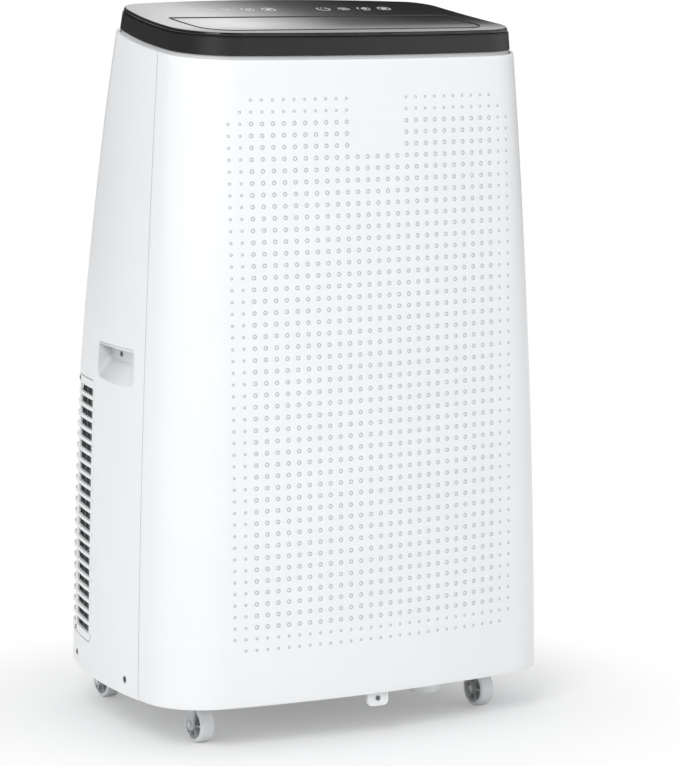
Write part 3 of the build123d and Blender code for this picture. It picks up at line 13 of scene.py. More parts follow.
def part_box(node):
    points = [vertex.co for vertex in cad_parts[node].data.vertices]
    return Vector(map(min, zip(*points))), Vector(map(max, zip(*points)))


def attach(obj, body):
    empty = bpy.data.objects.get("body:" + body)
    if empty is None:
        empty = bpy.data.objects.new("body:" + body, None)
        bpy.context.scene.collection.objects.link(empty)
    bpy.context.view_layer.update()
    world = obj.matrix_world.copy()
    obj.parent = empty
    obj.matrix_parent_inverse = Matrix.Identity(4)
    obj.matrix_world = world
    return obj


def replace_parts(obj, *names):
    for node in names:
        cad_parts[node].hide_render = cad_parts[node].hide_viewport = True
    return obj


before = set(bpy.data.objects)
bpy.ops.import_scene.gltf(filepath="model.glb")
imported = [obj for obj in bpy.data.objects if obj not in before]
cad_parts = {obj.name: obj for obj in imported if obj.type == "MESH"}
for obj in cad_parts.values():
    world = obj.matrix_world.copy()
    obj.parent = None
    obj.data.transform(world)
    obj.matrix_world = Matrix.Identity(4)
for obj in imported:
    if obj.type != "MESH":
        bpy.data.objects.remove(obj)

log = logging.getLogger("air_conditioner")

Point = tuple[float, float, float]
Spot = tuple[float, float]  # a place in plan
Pair = tuple[float, float]  # two values that belong together
Colour = tuple[float, float, float]
Socket = bpy.types.NodeSocket
Inputs = dict[str | int, object]

MM = 0.001
DIMPLE_SHADE = "dimple"  # vertex attribute of the painted shade on the dimple walls
FULL_TURN = 360
UP = Vector((0, 0, 1))
WHITE = (1.0, 1.0, 1.0)
NOISE_RANGE = (0.3, 0.7)  # where nearly all values of a noise texture lie
TONE_OCTAVES, WEAR_OCTAVES, GRAIN_OCTAVES = 4.0, 3.0, 2.0
WEAR_RATIO = 3  # how much finer the wear is than the mottling
WAVE_RATE = 20.0  # radians in one unit of a wave texture
RANGE_INPUTS = ("Value", "From Min", "From Max", "To Min", "To Max")
RANGE_KINDS = ("LINEAR", "SMOOTHSTEP")  # in proportion, smoothly
MIX_INPUTS = ("Factor", 6, 7)  # the factor and the colour sockets of a mix node
MIX_RESULT = 2


class Slot(Enum):
    """Material slots of the record."""

    WHITE_SHELL = "white_shell"
    PALE_GREY = "pale_grey"
    CASTER_GREY = "caster_grey"
    BLACK_SATIN = "black_satin"
    BLACK_GLOSS = "black_gloss"
    DUCT_BLACK = "duct_black"
    FILTER_GREY = "filter_grey"
    MOTOR_STEEL = "motor_steel"
    SCREW_STEEL = "screw_steel"
    RUBBER_GREY = "rubber_grey"
    COIL_ALUMINIUM = "coil_aluminium"
    COMPRESSOR_BLACK = "compressor_black"
    COPPER_LINE = "copper_line"
    BOX_ZINC = "box_zinc"
    BOARD_GREEN = "board_green"


class Side(Enum):
    """The two sides of the unit, as the sign of x."""

    LEFT = -1
    RIGHT = 1


# Finishes


class Nodes:
    """Node tree of a material or world, with short calls to add and join nodes."""

    def __init__(self, owner: bpy.types.ID) -> None:
        """Turn on the node tree of a material or world."""
        owner.use_nodes = True
        self.tree = owner.node_tree

    def fill(self, node: bpy.types.Node, inputs: Inputs) -> None:
        """Set the inputs of a node.

        Args:
            node: Node of this tree.
            inputs: Values by input; a socket is linked instead.
        """
        for key, value in inputs.items():
            end = node.inputs[key]
            if isinstance(value, Socket):
                self.tree.links.new(value, end)
            else:
                end.default_value = (*value, 1.0) if end.type == "RGBA" else value

    def add(self, kind: str, inputs: Inputs | None = None, **settings: object) -> bpy.types.Node:
        """Add a node.

        Args:
            kind: Node type without its common prefix.
            inputs: Values or sockets by input.
            settings: Node properties by name.

        Returns:
            The new node.
        """
        node = self.tree.nodes.new(f"ShaderNode{kind}")
        for name, value in settings.items():
            setattr(node, name, value)
        self.fill(node, inputs or {})
        return node

    def ranged(self, value: Socket, source: Pair, target: Pair = (0.0, 1.0),
               smooth: bool = False) -> Socket:
        """Map a value from one range onto another.

        Args:
            value: Value to map.
            source: Range of the value.
            target: Range of the result.
            smooth: Whether the result eases in and out.

        Returns:
            The mapped value.
        """
        inputs = dict(zip(RANGE_INPUTS, (value, *source, *target)))
        node = self.add("MapRange", inputs, interpolation_type=RANGE_KINDS[smooth])
        return node.outputs["Result"]


class Graph(Nodes):
    """Node tree of one new material that holds a principled shader."""

    def __init__(self, name: str) -> None:
        """Start the material.

        Args:
            name: Name of the material.
        """
        self.material = bpy.data.materials.new(name)
        super().__init__(self.material)
        self.shader = self.tree.nodes["Principled BSDF"]
        self.place = self.add("TexCoord").outputs["Object"]

    def noise(self, scale: float, detail: float) -> Socket:
        """Return object-space noise of a scale per metre and a number of octaves."""
        inputs = {"Scale": scale, "Detail": detail, "Vector": self.place}
        return self.add("TexNoise", inputs).outputs["Fac"]

    def bands(self, axis: str, pitch: float) -> Socket:
        """Return even bands across an axis (X, Y, Z or DIAGONAL) at a pitch in metres."""
        inputs = {"Scale": 2 * pi / (WAVE_RATE * pitch), "Vector": self.place}
        return self.add("TexWave", inputs, bands_direction=axis).outputs["Fac"]

    def spread(self, value: Socket, low: float, high: float) -> Socket:
        """Map a noise value onto the range from low to high."""
        return self.ranged(value, NOISE_RANGE, (low, high))

    def mix(self, amount: Socket, first: Colour | Socket, second: Colour | Socket) -> Socket:
        """Return the mix of two colours by the share of the second."""
        inputs = dict(zip(MIX_INPUTS, (amount, first, second)))
        return self.add("Mix", inputs, data_type="RGBA").outputs[MIX_RESULT]


def steps(first: float, last: float, count: int) -> list[float]:
    """Return even steps from the first value to the last, with both."""
    return [first + (last - first) * k / count for k in range(count + 1)]


def shade(colour: Colour, factor: float) -> Colour:
    """Return a colour made darker or lighter by a factor."""
    return tuple(min(1.0, c * factor) for c in colour)


@dataclass(frozen=True)
class Moulded:
    """Moulded plastic or painted metal with a fine grain and slight mottling."""

    name: str
    colour: Colour
    roughness: float = 0.42
    wear: float = 0.07
    mottle: float = 0.03
    mottle_scale: float = 14.0
    grain_scale: float = 1400.0
    grain_strength: float = 0.10
    grain_height: float = 0.00008
    metallic: float = 0.0
    specular: float = 0.5
    coat: float = 0.0
    coat_roughness: float = 0.06

    def tone(self, graph: Graph) -> Socket:
        """Return the mottled colour."""
        amount = graph.spread(graph.noise(self.mottle_scale, TONE_OCTAVES), 0.0, 1.0)
        return graph.mix(amount, *(shade(self.colour, 1 + s * self.mottle) for s in (-1, 1)))

    def grain(self, graph: Graph) -> Socket:
        """Return the height of the surface's fine relief."""
        return graph.noise(self.grain_scale, GRAIN_OCTAVES)

    def build(self) -> bpy.types.Material:
        """Make the material.

        Returns:
            The node material.
        """
        graph = Graph(self.name)
        dull = (self.roughness * (1 - self.wear), self.roughness * (1 + self.wear))
        worn = graph.noise(self.mottle_scale * WEAR_RATIO, WEAR_OCTAVES)
        relief = {"Height": self.grain(graph), "Strength": self.grain_strength,
                  "Distance": self.grain_height}
        graph.fill(graph.shader, {
            "Base Color": self.tone(graph),
            "Roughness": graph.spread(worn, *dull),
            "Metallic": self.metallic,
            "Specular IOR Level": self.specular,
            "Coat Weight": self.coat,
            "Coat Roughness": self.coat_roughness,
            "Normal": graph.add("Bump", relief).outputs["Normal"],
        })
        return graph.material


@dataclass(frozen=True)
class Dimpled(Moulded):
    """Shell plastic with painted shade, a grey tint, on the walls of its dimples."""

    # grey of the painted shade on the dimple walls
    dimple_shade: Colour = (0.40, 0.41, 0.42)

    def tone(self, graph: Graph) -> Socket:
        """Return the shell colour with painted shade on the dimple walls."""
        wall_shade = graph.add("Attribute", attribute_name=DIMPLE_SHADE).outputs["Fac"]
        return graph.mix(wall_shade, super().tone(graph), self.dimple_shade)


@dataclass(frozen=True)
class Graded(Moulded):
    """Moulded plastic with painted shade that darkens it towards the rear."""

    # colour of the painted shade at the rear end
    far: Colour = (0.6, 0.6, 0.6)
    run: Pair = (0.0, 1.0)

    def tone(self, graph: Graph) -> Socket:
        """Return the colour that turns to painted shade from front to rear."""
        along = graph.add("SeparateXYZ", {"Vector": graph.place}).outputs["Y"]
        return graph.mix(graph.ranged(along, self.run), super().tone(graph), self.far)


@dataclass(frozen=True)
class Caster(Moulded):
    """Caster wheel with a pale tyre round a darker hub, grey in part and painted shade in part."""

    hub: Colour = (0.4, 0.4, 0.4)
    middle: Point = (0.0, 0.0, 0.0)
    across_axle: Point = (0.0, 1.0, 1.0)
    tyre: float = 0.015
    edge: float = 0.0003

    def tone(self, graph: Graph) -> Socket:
        """Build the hub colour inside the tyre.

        Args:
            graph: Material being built.

        Returns:
            The colour.
        """
        reach = graph.place
        for operation, other in (("SUBTRACT", self.middle), ("MULTIPLY", self.across_axle)):
            reach = graph.add("VectorMath", {0: reach, 1: other}, operation=operation).outputs[0]
        reach = graph.add("VectorMath", {0: reach}, operation="LENGTH").outputs["Value"]
        rim = graph.ranged(reach, (self.tyre - self.edge, self.tyre + self.edge))
        return graph.mix(rim, self.hub, super().tone(graph))


@dataclass(frozen=True)
class Finned(Moulded):
    """Packed thin fins, as on a coil."""

    grain_strength: float = 0.6
    grain_height: float = 0.0006
    metallic: float = 1.0
    pitch: float = 0.0021
    axis: str = "X"
    # darkness of the painted shade between the fins
    gap: float = 0.35

    def tone(self, graph: Graph) -> Socket:
        """Return the fin colour with painted shade in the gaps between fins."""
        return graph.mix(self.grain(graph), shade(self.colour, self.gap), self.colour)

    def grain(self, graph: Graph) -> Socket:
        """Return the height of the fin edges."""
        return graph.bands(self.axis, self.pitch)


@dataclass(frozen=True)
class Woven(Moulded):
    """Fine square mesh, as on a dust filter."""

    grain_strength: float = 0.7
    grain_height: float = 0.0004
    pitch: float = 0.0016

    def grain(self, graph: Graph) -> Socket:
        """Return the height of the mesh's threads."""
        threads = {k: graph.bands(axis, self.pitch) for k, axis in enumerate(("DIAGONAL", "Z"))}
        return graph.add("Math", threads, operation="MAXIMUM").outputs[0]


@dataclass(frozen=True)
class Brushed(Moulded):
    """Bare metal drawn in one direction."""

    grain_scale: float = 60.0
    grain_strength: float = 0.15
    grain_height: float = 0.00005
    metallic: float = 1.0
    stretch: Point = (40.0, 40.0, 1.0)

    def grain(self, graph: Graph) -> Socket:
        """Return the height of the fine drawn lines."""
        drawn = graph.add("Mapping", {"Vector": graph.place, "Scale": self.stretch}).outputs[0]
        return graph.add("TexNoise", {"Scale": self.grain_scale, "Vector": drawn}).outputs["Fac"]


@dataclass(frozen=True)
class Lacquered(Moulded):
    """Circuit board lacquer with paler copper runs under it."""

    run_scale: float = 90.0
    run_width: float = 0.03
    run_shine: float = 1.8

    def tone(self, graph: Graph) -> Socket:
        """Return the colour of the lacquer with its runs."""
        runs = graph.add("TexBrick", {"Scale": self.run_scale, "Mortar Size": self.run_width,
                                      "Vector": graph.place}).outputs["Fac"]
        return graph.mix(runs, self.colour, shade(self.colour, self.run_shine))


SHELL_WHITE = (0.845, 0.850, 0.855)
FINISHES: dict[Slot, Moulded] = {
    Slot.WHITE_SHELL: Moulded("shell white", SHELL_WHITE, roughness=0.36, mottle=0.008),
    Slot.PALE_GREY: Moulded("pale grey plastic", (0.66, 0.67, 0.68), roughness=0.45),
    Slot.CASTER_GREY: Moulded("caster grey", (0.56, 0.565, 0.57), roughness=0.48, mottle=0.04),
    Slot.BLACK_SATIN: Moulded("satin band", (0.016, 0.016, 0.017), mottle=0.08,
                              grain_strength=0.15, specular=0.4),
    Slot.BLACK_GLOSS: Moulded("gloss deck", (0.012, 0.012, 0.013), roughness=0.12, mottle=0.10,
                              grain_scale=300.0, grain_strength=0.01),
    Slot.DUCT_BLACK: Moulded("duct black", (0.045, 0.045, 0.048), roughness=0.6, mottle=0.10),
    Slot.FILTER_GREY: Woven("filter mesh", (0.19, 0.195, 0.20), roughness=0.7, mottle=0.10),
    Slot.MOTOR_STEEL: Brushed("motor zinc", (0.42, 0.43, 0.44), roughness=0.38, mottle=0.06),
    Slot.SCREW_STEEL: Brushed("screw steel", (0.60, 0.60, 0.61), roughness=0.30, mottle=0.05),
    Slot.RUBBER_GREY: Moulded("grey rubber", (0.10, 0.10, 0.10), roughness=0.8, mottle=0.10,
                              specular=0.3),
    Slot.COIL_ALUMINIUM: Finned("coil fins", (0.62, 0.64, 0.66), roughness=0.34),
    Slot.COMPRESSOR_BLACK: Moulded("compressor enamel", (0.020, 0.020, 0.020), roughness=0.3,
                                   mottle=0.15, grain_scale=250.0, grain_strength=0.05, coat=0.3),
    Slot.COPPER_LINE: Brushed("copper", (0.72, 0.38, 0.22), roughness=0.32, mottle=0.10),
    Slot.BOX_ZINC: Moulded("zinc sheet", (0.52, 0.53, 0.54), metallic=1.0, mottle=0.10,
                           mottle_scale=60.0),
    Slot.BOARD_GREEN: Lacquered("board lacquer", (0.03, 0.16, 0.08), roughness=0.3),
}
NECK_PALE = Moulded("neck grey", (0.74, 0.745, 0.75))
# handle cups: shell white greyed as painted shade in the pocket, darkest at the rear
POCKET_SHADED = Graded("pocket painted shade", (0.80, 0.805, 0.81), roughness=0.45, mottle=0.02,
                     far=(0.60, 0.605, 0.61), run=(-0.025, 0.03))
# dark strips of painted shade in the gaps round the grille, along the seam and round the flap
GAP_SHADE = Moulded("painted gap shade", (0.09, 0.09, 0.095), roughness=0.7, mottle=0.08, specular=0.3)
MESH_CLOTH = Woven("filter cloth", (0.085, 0.088, 0.092), roughness=0.8, mottle=0.10,
                   specular=0.2)
# screw steel darkened as painted shade of the recesses the heads sit in
SCREW_SHADED = Brushed("screw in painted shade", (0.16, 0.16, 0.165), roughness=0.4, mottle=0.05)
# front shell white, with painted shade on its dimple walls
DIMPLED_FRONT = Dimpled("dimpled shell white", SHELL_WHITE, roughness=0.36, mottle=0.008)
ICON_PRINT = Moulded("icon print", (0.80, 0.80, 0.81), roughness=0.5, mottle=0.05)


@cache
def material(finish: Moulded) -> bpy.types.Material:
    """Return the material of a finish, made on first use."""
    return finish.build()


def dress(piece: bpy.types.Object, finish: Moulded) -> None:
    """Give a piece one finish all over."""
    piece.data.materials.clear()
    piece.data.materials.append(material(finish))


# Mesh helpers


class Mesh:
    """Vertices and faces of a piece in millimetres, with painted dimple shade for each vertex."""

    def __init__(self) -> None:
        """Start empty."""
        self.vertices: list[tuple[Point, float]] = []
        self.faces: list[tuple[int, ...]] = []

    def point(self, place: Point, dimple_shade: float = 0.0) -> int:
        """Add a vertex with its share of the painted dimple shade, and return its number."""
        self.vertices.append((place, dimple_shade))
        return len(self.vertices) - 1

    def face(self, *corners: int) -> None:
        """Add a face by its vertex numbers."""
        self.faces.append(corners)

    def ring(self, first: list[int], second: list[int]) -> None:
        """Join two closed loops of equal length with quads."""
        for a, b, c, d in zip(first, first[1:] + first[:1], second[1:] + second[:1], second):
            self.face(a, b, c, d)

    def tube(self, loops: list[list[Point]], closed: bool) -> None:
        """Add a closed skin through loops of equal length.

        Args:
            loops: Loops in order.
            closed: Whether the last loop joins the first; otherwise both ends get a face.
        """
        rings = [[self.point(place) for place in loop] for loop in loops]
        for first, second in zip(rings, rings[1:] + rings[:1] if closed else rings[1:]):
            self.ring(first, second)
        if not closed:
            self.face(*reversed(rings[0]))
            self.face(*rings[-1])

    def piece(self, name: str, body: str, slot: Slot, finish: Moulded,
              smooth: float = 40.0) -> bpy.types.Object:
        """Make the object, give it its finish and let it ride.

        Args:
            name: Piece name.
            body: Body that carries it.
            slot: Material slot of the record; not used.
            finish: Finish of the piece.
            smooth: Largest edge angle that is shaded smooth, in degrees.

        Returns:
            The new object.
        """
        data = bpy.data.meshes.new(name)
        places = [tuple(c * MM for c in place) for place, _ in self.vertices]
        dimple_shades = [dimple_shade for _, dimple_shade in self.vertices]
        data.from_pydata(places, [], self.faces)
        shape = bmesh.new()
        shape.from_mesh(data)
        bmesh.ops.recalc_face_normals(shape, faces=shape.faces)
        shape.to_mesh(data)
        shape.free()
        if any(dimple_shades):
            # store each vertex's share of the painted dimple shade
            data.attributes.new(DIMPLE_SHADE, "FLOAT", "POINT").data.foreach_set("value", dimple_shades)
        data.update()
        data.shade_smooth()
        data.set_sharp_from_angle(angle=radians(smooth))
        thing = bpy.data.objects.new(name, data)
        bpy.context.scene.collection.objects.link(thing)
        dress(thing, finish)
        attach(thing, body)
        log.info("%s rides on %s", name, body)
        return thing


def dress_node(node: str, slot: Slot, finish: Moulded | None = None) -> None:
    """Give a frame node the finish of a slot, or its own where it differs."""
    dress(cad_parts[node], finish or FINISHES[slot])
    log.info("%s dressed as %s", node, slot.value)


def dress_nodes(groups: dict[Slot, tuple[str, ...]]) -> None:
    """Give groups of frame nodes the finishes of their slots."""
    for node, slot in ((node, slot) for slot, nodes in groups.items() for node in nodes):
        dress_node(node, slot)


# Form of the body


@dataclass(frozen=True)
class Arc:
    """Arc of the plan outline, in millimetres."""

    centre: Spot
    radius: float

    def at(self, turn: float) -> Spot:
        """Return the place at a turn from x towards y."""
        return (self.centre[0] + self.radius * cos(turn), self.centre[1] + self.radius * sin(turn))

    def front_y(self, x: float) -> float:
        """Return the front of the arc at x."""
        return self.centre[1] - sqrt(self.radius**2 - (x - self.centre[0]) ** 2)

    def turn_at(self, y: float) -> float:
        """Return the turn at which the right of the arc reaches y."""
        return asin((y - self.centre[1]) / self.radius)

    def turn_to(self, place: Spot) -> float:
        """Return the turn from the centre to a place."""
        return atan2(place[1] - self.centre[1], place[0] - self.centre[0])

    def blend(self, side: "Arc", radius: float) -> "Arc":
        """Return the corner that runs smoothly from this arc, centred on x = 0, to the side.

        Args:
            side: Arc of the side.
            radius: Radius of the corner.

        Returns:
            The arc of the right corner.
        """
        reach, side_reach = self.radius - radius, side.radius - radius
        dx, dy = side.centre[0], side.centre[1] - self.centre[1]
        apart = hypot(dx, dy)
        along = (reach**2 - side_reach**2 + apart**2) / (2 * apart)
        off = sqrt(reach**2 - along**2)
        ux, uy = dx / apart, dy / apart
        spots = [(along * ux + s * off * uy, self.centre[1] + along * uy - s * off * ux)
                 for s in (-1, 1)]
        return Arc(max(spots), radius)


@dataclass(frozen=True)
class BodyForm:
    """Plan and profile of the housing in millimetres."""

    half_width: float = 223.45
    side_bow_z: float = -195.0
    side_bow_radius: float = 13263.0
    front: float = -174.6
    front_bow_z: float = 168.0
    front_bow_radius: float = 11261.0
    plan_front_radius: float = 1100.0
    plan_side_radius: float = 620.0
    plan_side_y: float = -75.0
    front_corner: float = 62.0
    rear: float = 172.6
    rear_bend_z: float = 150.0
    rear_bend_radius: float = 1060.0
    rear_lean: float = 15.2
    plan_rear_radius: float = 900.0
    rear_corner: float = 37.0
    bottom: float = 44.0
    skin: float = 3.0
    seam_y: float = -80.25
    deck_front_z: float = 693.5
    deck_front_y: float = -163.3
    deck_slope: float = 0.066
    deck_arc: float = 1389.0
    body_top: float = 25.1

    def half_at(self, z: float) -> float:
        """Return the half width at height z."""
        return self.half_width - (z - self.side_bow_z) ** 2 / (2 * self.side_bow_radius)

    def front_at(self, z: float) -> float:
        """Return the front at x = 0 and height z."""
        return self.front + (z - self.front_bow_z) ** 2 / (2 * self.front_bow_radius)

    def rear_at(self, z: float) -> float:
        """Return the rear at x = 0: upright, then an arc, then leaning forward.

        Args:
            z: Height.

        Returns:
            The rear's y.
        """
        rise = max(0.0, z - self.rear_bend_z)
        lean = radians(self.rear_lean)
        radius = self.rear_bend_radius
        bend = radius * sin(lean)
        if rise <= bend:
            return self.rear - radius + sqrt(radius**2 - rise**2)
        return self.rear - radius * (1 - cos(lean)) - (rise - bend) * tan(lean)

    def side(self, z: float, inset: float) -> Arc:
        """Return the plan of the right side at height z, a distance inside the outer face."""
        radius = self.plan_side_radius - inset
        return Arc((self.half_at(z) - inset - radius, self.plan_side_y), radius)

    def side_x(self, y: float, z: float) -> float:
        """Return the side of the body at plan position y and height z."""
        radius = self.plan_side_radius
        return self.half_at(z) - radius + sqrt(radius**2 - (y - self.plan_side_y) ** 2)

    def deck_z(self, y: float, drop: float) -> float:
        """Return the height of the deck arc at y, lowered by drop."""
        run = y - self.deck_front_y
        return self.deck_front_z - drop + self.deck_slope * run + run**2 / (2 * self.deck_arc)


FORM = BodyForm()


class Outline:
    """Plan outline of one half at one height: an end arc, a corner arc and the side arc."""

    def __init__(self, z: float, inset: float, rear: bool = False) -> None:
        """Find the arcs of an outline.

        Args:
            z: Height.
            inset: Distance inside the outer face.
            rear: Whether it is the rear half.
        """
        if rear:
            radius, corner = FORM.plan_rear_radius - inset, FORM.rear_corner - inset
            centre = FORM.rear_at(z) - inset - radius
        else:
            radius, corner = FORM.plan_front_radius - inset, FORM.front_corner - inset
            centre = FORM.front_at(z) + inset + radius
        self.end = Arc((0.0, centre), radius)
        self.side = FORM.side(z, inset)
        self.corner = self.end.blend(self.side, corner)
        self.end_turn = self.end.turn_to(self.corner.centre)
        self.side_turn = self.side.turn_to(self.corner.centre)
        self.end_x = radius * cos(self.end_turn)

    def front_y(self, x: float) -> float:
        """Return the front of a front half at x."""
        arc = self.end if abs(x) <= self.end_x else self.corner
        return arc.front_y(abs(x))

    def wrap(self, start_x: float, end_y: float, share: float) -> Spot:
        """Walk round a front corner to the seam.

        Args:
            start_x: Where the walk starts on the front.
            end_y: Where it ends on the side.
            share: Share of the way, 0 to 1.

        Returns:
            Plan position on the right side.
        """
        front_run = max(0.0, self.end_x - start_x)
        start_turn = self.end_turn
        if front_run == 0:
            start_turn = self.corner.turn_to((start_x, self.front_y(start_x)))
        corner_run = self.corner.radius * (self.side_turn - start_turn)
        side_run = self.side.radius * (self.side.turn_at(end_y) - self.side_turn)
        walk = share * (front_run + corner_run + side_run)
        if walk < front_run:
            return start_x + walk, self.front_y(start_x + walk)
        walk -= front_run
        if walk < corner_run:
            return self.corner.at(start_turn + walk / self.corner.radius)
        return self.side.at(self.side_turn + (walk - corner_run) / self.side.radius)

    def walk(self, start_y: float, counts: tuple[int, int, int]) -> list[Spot]:
        """Walk from the right side round a rear corner to the middle of the rear.

        Args:
            start_y: Where the walk starts on the side.
            counts: Steps on the side, the corner and the rear.

        Returns:
            Plan positions on the right half.
        """
        legs = ((self.side, self.side.turn_at(start_y), self.side_turn),
                (self.corner, self.side_turn, self.end_turn),
                (self.end, self.end_turn, pi / 2))
        spots = []
        for (arc, first, last), count in zip(legs, counts):
            spots += [arc.at(turn) for turn in steps(first, last, count)[:-1]]
        return spots + [(0.0, self.end.centre[1] + self.end.radius)]

    def place(self, y: float) -> Pair:
        """Return x and the outward turn of the right side or rear corner at y."""
        arc = self.side if y <= self.side.at(self.side_turn)[1] else self.corner
        return arc.at(arc.turn_at(y))[0], arc.turn_at(y)


@dataclass(frozen=True)
class GridLine:
    """One column or row of the front shell's grid.

    For a column, at is x or the share of the way round a corner. For a row, at is a height
    or, near the top, a drop below the deck arc.
    """

    at: float
    inset: float = 0.0
    wraps: int = 0
    edge: float = 0.0
    follows_deck: bool = False


# Dimples left out at each end of a row, by the row's number from the bottom or back from the top.
SHORT_ROWS = {0: 1, -1: 2, -2: 1}
CELL_START = radians(-135)  # turn of a cell's lower left corner
# Rings of a dimple from its rim inwards: share of its radius and millimetres added, share of its
# depth and millimetres added, and share of the painted shade.
DIMPLE_RINGS = ((1.0, 0.25, 0.0, 0.0, 0.0), (1.0, 0.0, 0.0, 0.04, 0.8), (1.0, -0.3, 0.5, 0.0, 1.0),
                (1.0, -0.75, 0.95, 0.0, 0.8), (0.45, 0.0, 1.0, 0.0, 0.1))


@dataclass
class FrontShell:
    """Bowed front shell with its grid of round dimples."""

    columns: int = 29
    rows: int = 48
    pitch: float = 11.3
    low: float = 94.25
    splits: int = 4
    wide_dimple: float = 2.2
    small_dimple: float = 1.45
    depth: float = 0.35
    blank_columns: tuple[int, int] = (12, 16)
    blank_rows: int = 5
    small_border: int = 2
    edge_round: float = 0.9
    edge_turns: tuple[int, ...] = (0, 30, 60, 90)
    lip: float = 7.0
    wrap_steps: int = 22
    low_rises: tuple[float, ...] = (6.0, 14.0, 23.0, 32.0, 41.0)
    top_drops: tuple[float, ...] = (24.0, 17.0, 10.0, 5.0)
    deck_passes: int = 4
    smooth: float = 75.0
    first_cell: int = 0
    first_row: int = 0
    mesh: Mesh = field(default_factory=Mesh)

    def rounding(self) -> list[Pair]:
        """List the steps of the shell's edge.

        Returns:
            Distance from the border and inset of each, from the outer face to the inner lip.
        """
        r, skin = self.edge_round, FORM.skin
        turns = [radians(turn) for turn in self.edge_turns]
        rounded = [(r * (1 - sin(turn)), r * (1 - cos(turn))) for turn in turns]
        return rounded + [(0.0, skin), (self.lip, skin)]

    def column_lines(self) -> list[GridLine]:
        """Lay out the columns and note where the dimpled field starts.

        Returns:
            The columns from the left seam to the right seam.
        """
        half = self.columns * self.pitch / 2
        middle = [GridLine(-half + k * self.pitch / self.splits)
                  for k in range(self.columns * self.splits + 1)]
        (edge, _), *border = self.rounding()
        right = [GridLine(k / self.wrap_steps, wraps=1, edge=edge)
                 for k in range(1, self.wrap_steps + 1)]
        right += [GridLine(1.0, inset, 1, edge) for edge, inset in border]
        left = [GridLine(c.at, c.inset, -1, c.edge) for c in reversed(right)]
        self.first_cell = len(left)
        return left + middle + right

    def row_lines(self) -> list[GridLine]:
        """Lay out the rows and note where the dimpled field starts.

        Returns:
            The rows from the bottom edge to the top edge.
        """
        bottom, top, border = FORM.bottom, FORM.body_top, self.rounding()
        lines = [GridLine(bottom + edge, inset) for edge, inset in reversed(border)]
        lines += [GridLine(bottom + rise) for rise in self.low_rises]
        self.first_row = len(lines)
        lines += [GridLine(self.low + k * self.pitch / self.splits)
                  for k in range(self.rows * self.splits + 1)]
        lines += [GridLine(top + drop, follows_deck=True) for drop in self.top_drops]
        return lines + [GridLine(top + edge, inset, follows_deck=True) for edge, inset in border]

    def spot(self, column: GridLine, row: GridLine, sink: float = 0.0) -> Point:
        """Place one grid point on the shell.

        Args:
            column: Column of the grid.
            row: Row of the grid.
            sink: Depth under the outer face.

        Returns:
            The point in millimetres.
        """
        inset = max(column.inset, row.inset, sink)
        z = FORM.deck_z(FORM.front, row.at) if row.follows_deck else row.at
        for _ in range(self.deck_passes if row.follows_deck else 1):
            outline = Outline(z, inset)
            if column.wraps:
                start = self.columns * self.pitch / 2
                x, y = outline.wrap(start, FORM.seam_y - column.edge, column.at)
                x *= column.wraps
            else:
                x, y = column.at, outline.front_y(column.at)
            if row.follows_deck:
                z = FORM.deck_z(y, row.at)
        return x, y, z

    def dimple_radius(self, i: int, j: int) -> float:
        """Tell the size of the dimple in a cell.

        Args:
            i: Cell column.
            j: Cell row.

        Returns:
            The radius, or 0 where the shell is plain.
        """
        end_j = self.rows - 1
        aside = min(i, self.columns - 1 - i)
        missing = SHORT_ROWS.get(j, SHORT_ROWS.get(j - self.rows, 0))
        first, last = self.blank_columns
        if aside < missing or first <= i <= last and j > end_j - self.blank_rows:
            return 0.0
        small = min(aside, j, end_j - j) < self.small_border
        return self.small_dimple if small else self.wide_dimple

    def cell(self, i: int, j: int, border: list[int]) -> None:
        """Fill one cell of the grid.

        Args:
            i: Cell column.
            j: Cell row.
            border: Vertex numbers round the cell, from its lower left corner.
        """
        radius = self.dimple_radius(i, j)
        deep = self.depth * radius / self.wide_dimple
        rings = [(self.wide_dimple, 0.0, 0.0)]
        if radius > 0:
            # the last value of each ring is its share of the painted shade
            rings = [(share * radius + wider, part * deep + deeper, dimple_shade)
                     for share, wider, part, deeper, dimple_shade in DIMPLE_RINGS]
        mid_x = (i + 0.5 - self.columns / 2) * self.pitch
        mid_z = self.low + (j + 0.5) * self.pitch
        count = len(border)
        turns = [CELL_START + 2 * pi * k / count for k in range(count)]
        for size, sink, dimple_shade in rings:
            loop = []
            for turn in turns:
                column, row = GridLine(mid_x + size * cos(turn)), GridLine(mid_z + size * sin(turn))
                loop.append(self.mesh.point(self.spot(column, row, sink), dimple_shade))
            self.mesh.ring(border, loop)
            border = loop
        centre = self.mesh.point(self.spot(GridLine(mid_x), GridLine(mid_z), deep))
        for first, second in zip(border, border[1:] + border[:1]):
            self.mesh.face(first, second, centre)

    def build(self) -> bpy.types.Object:
        """Build the shell.

        Returns:
            The front shell, which stands for the frame's front panel.
        """
        columns, rows = self.column_lines(), self.row_lines()
        cell_end = self.first_cell + self.columns * self.splits
        row_end = self.first_row + self.rows * self.splits
        index: dict[tuple[int, int], int] = {}

        def vertex(c: int, r: int) -> int:
            """Return the vertex of a grid crossing, made on first use."""
            if (c, r) not in index:
                index[(c, r)] = self.mesh.point(self.spot(columns[c], rows[r]))
            return index[(c, r)]

        for c in range(len(columns) - 1):
            for r in range(len(rows) - 1):
                if not (self.first_cell <= c < cell_end and self.first_row <= r < row_end):
                    corners = ((c, r), (c + 1, r), (c + 1, r + 1), (c, r + 1))
                    self.mesh.face(*(vertex(*corner) for corner in corners))
        n = self.splits
        for i in range(self.columns):
            for j in range(self.rows):
                c, r = self.first_cell + i * n, self.first_row + j * n
                loop = [(c + k, r) for k in range(n)] + [(c + n, r + k) for k in range(n)]
                loop += [(c + n - k, r + n) for k in range(n)] + [(c, r + n - k) for k in range(n)]
                self.cell(i, j, [vertex(*spot) for spot in loop])
        shell = self.mesh.piece("front_shell", "housing", Slot.WHITE_SHELL, DIMPLED_FRONT,
                                self.smooth)
        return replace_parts(shell, "front_panel")


# Rear shell


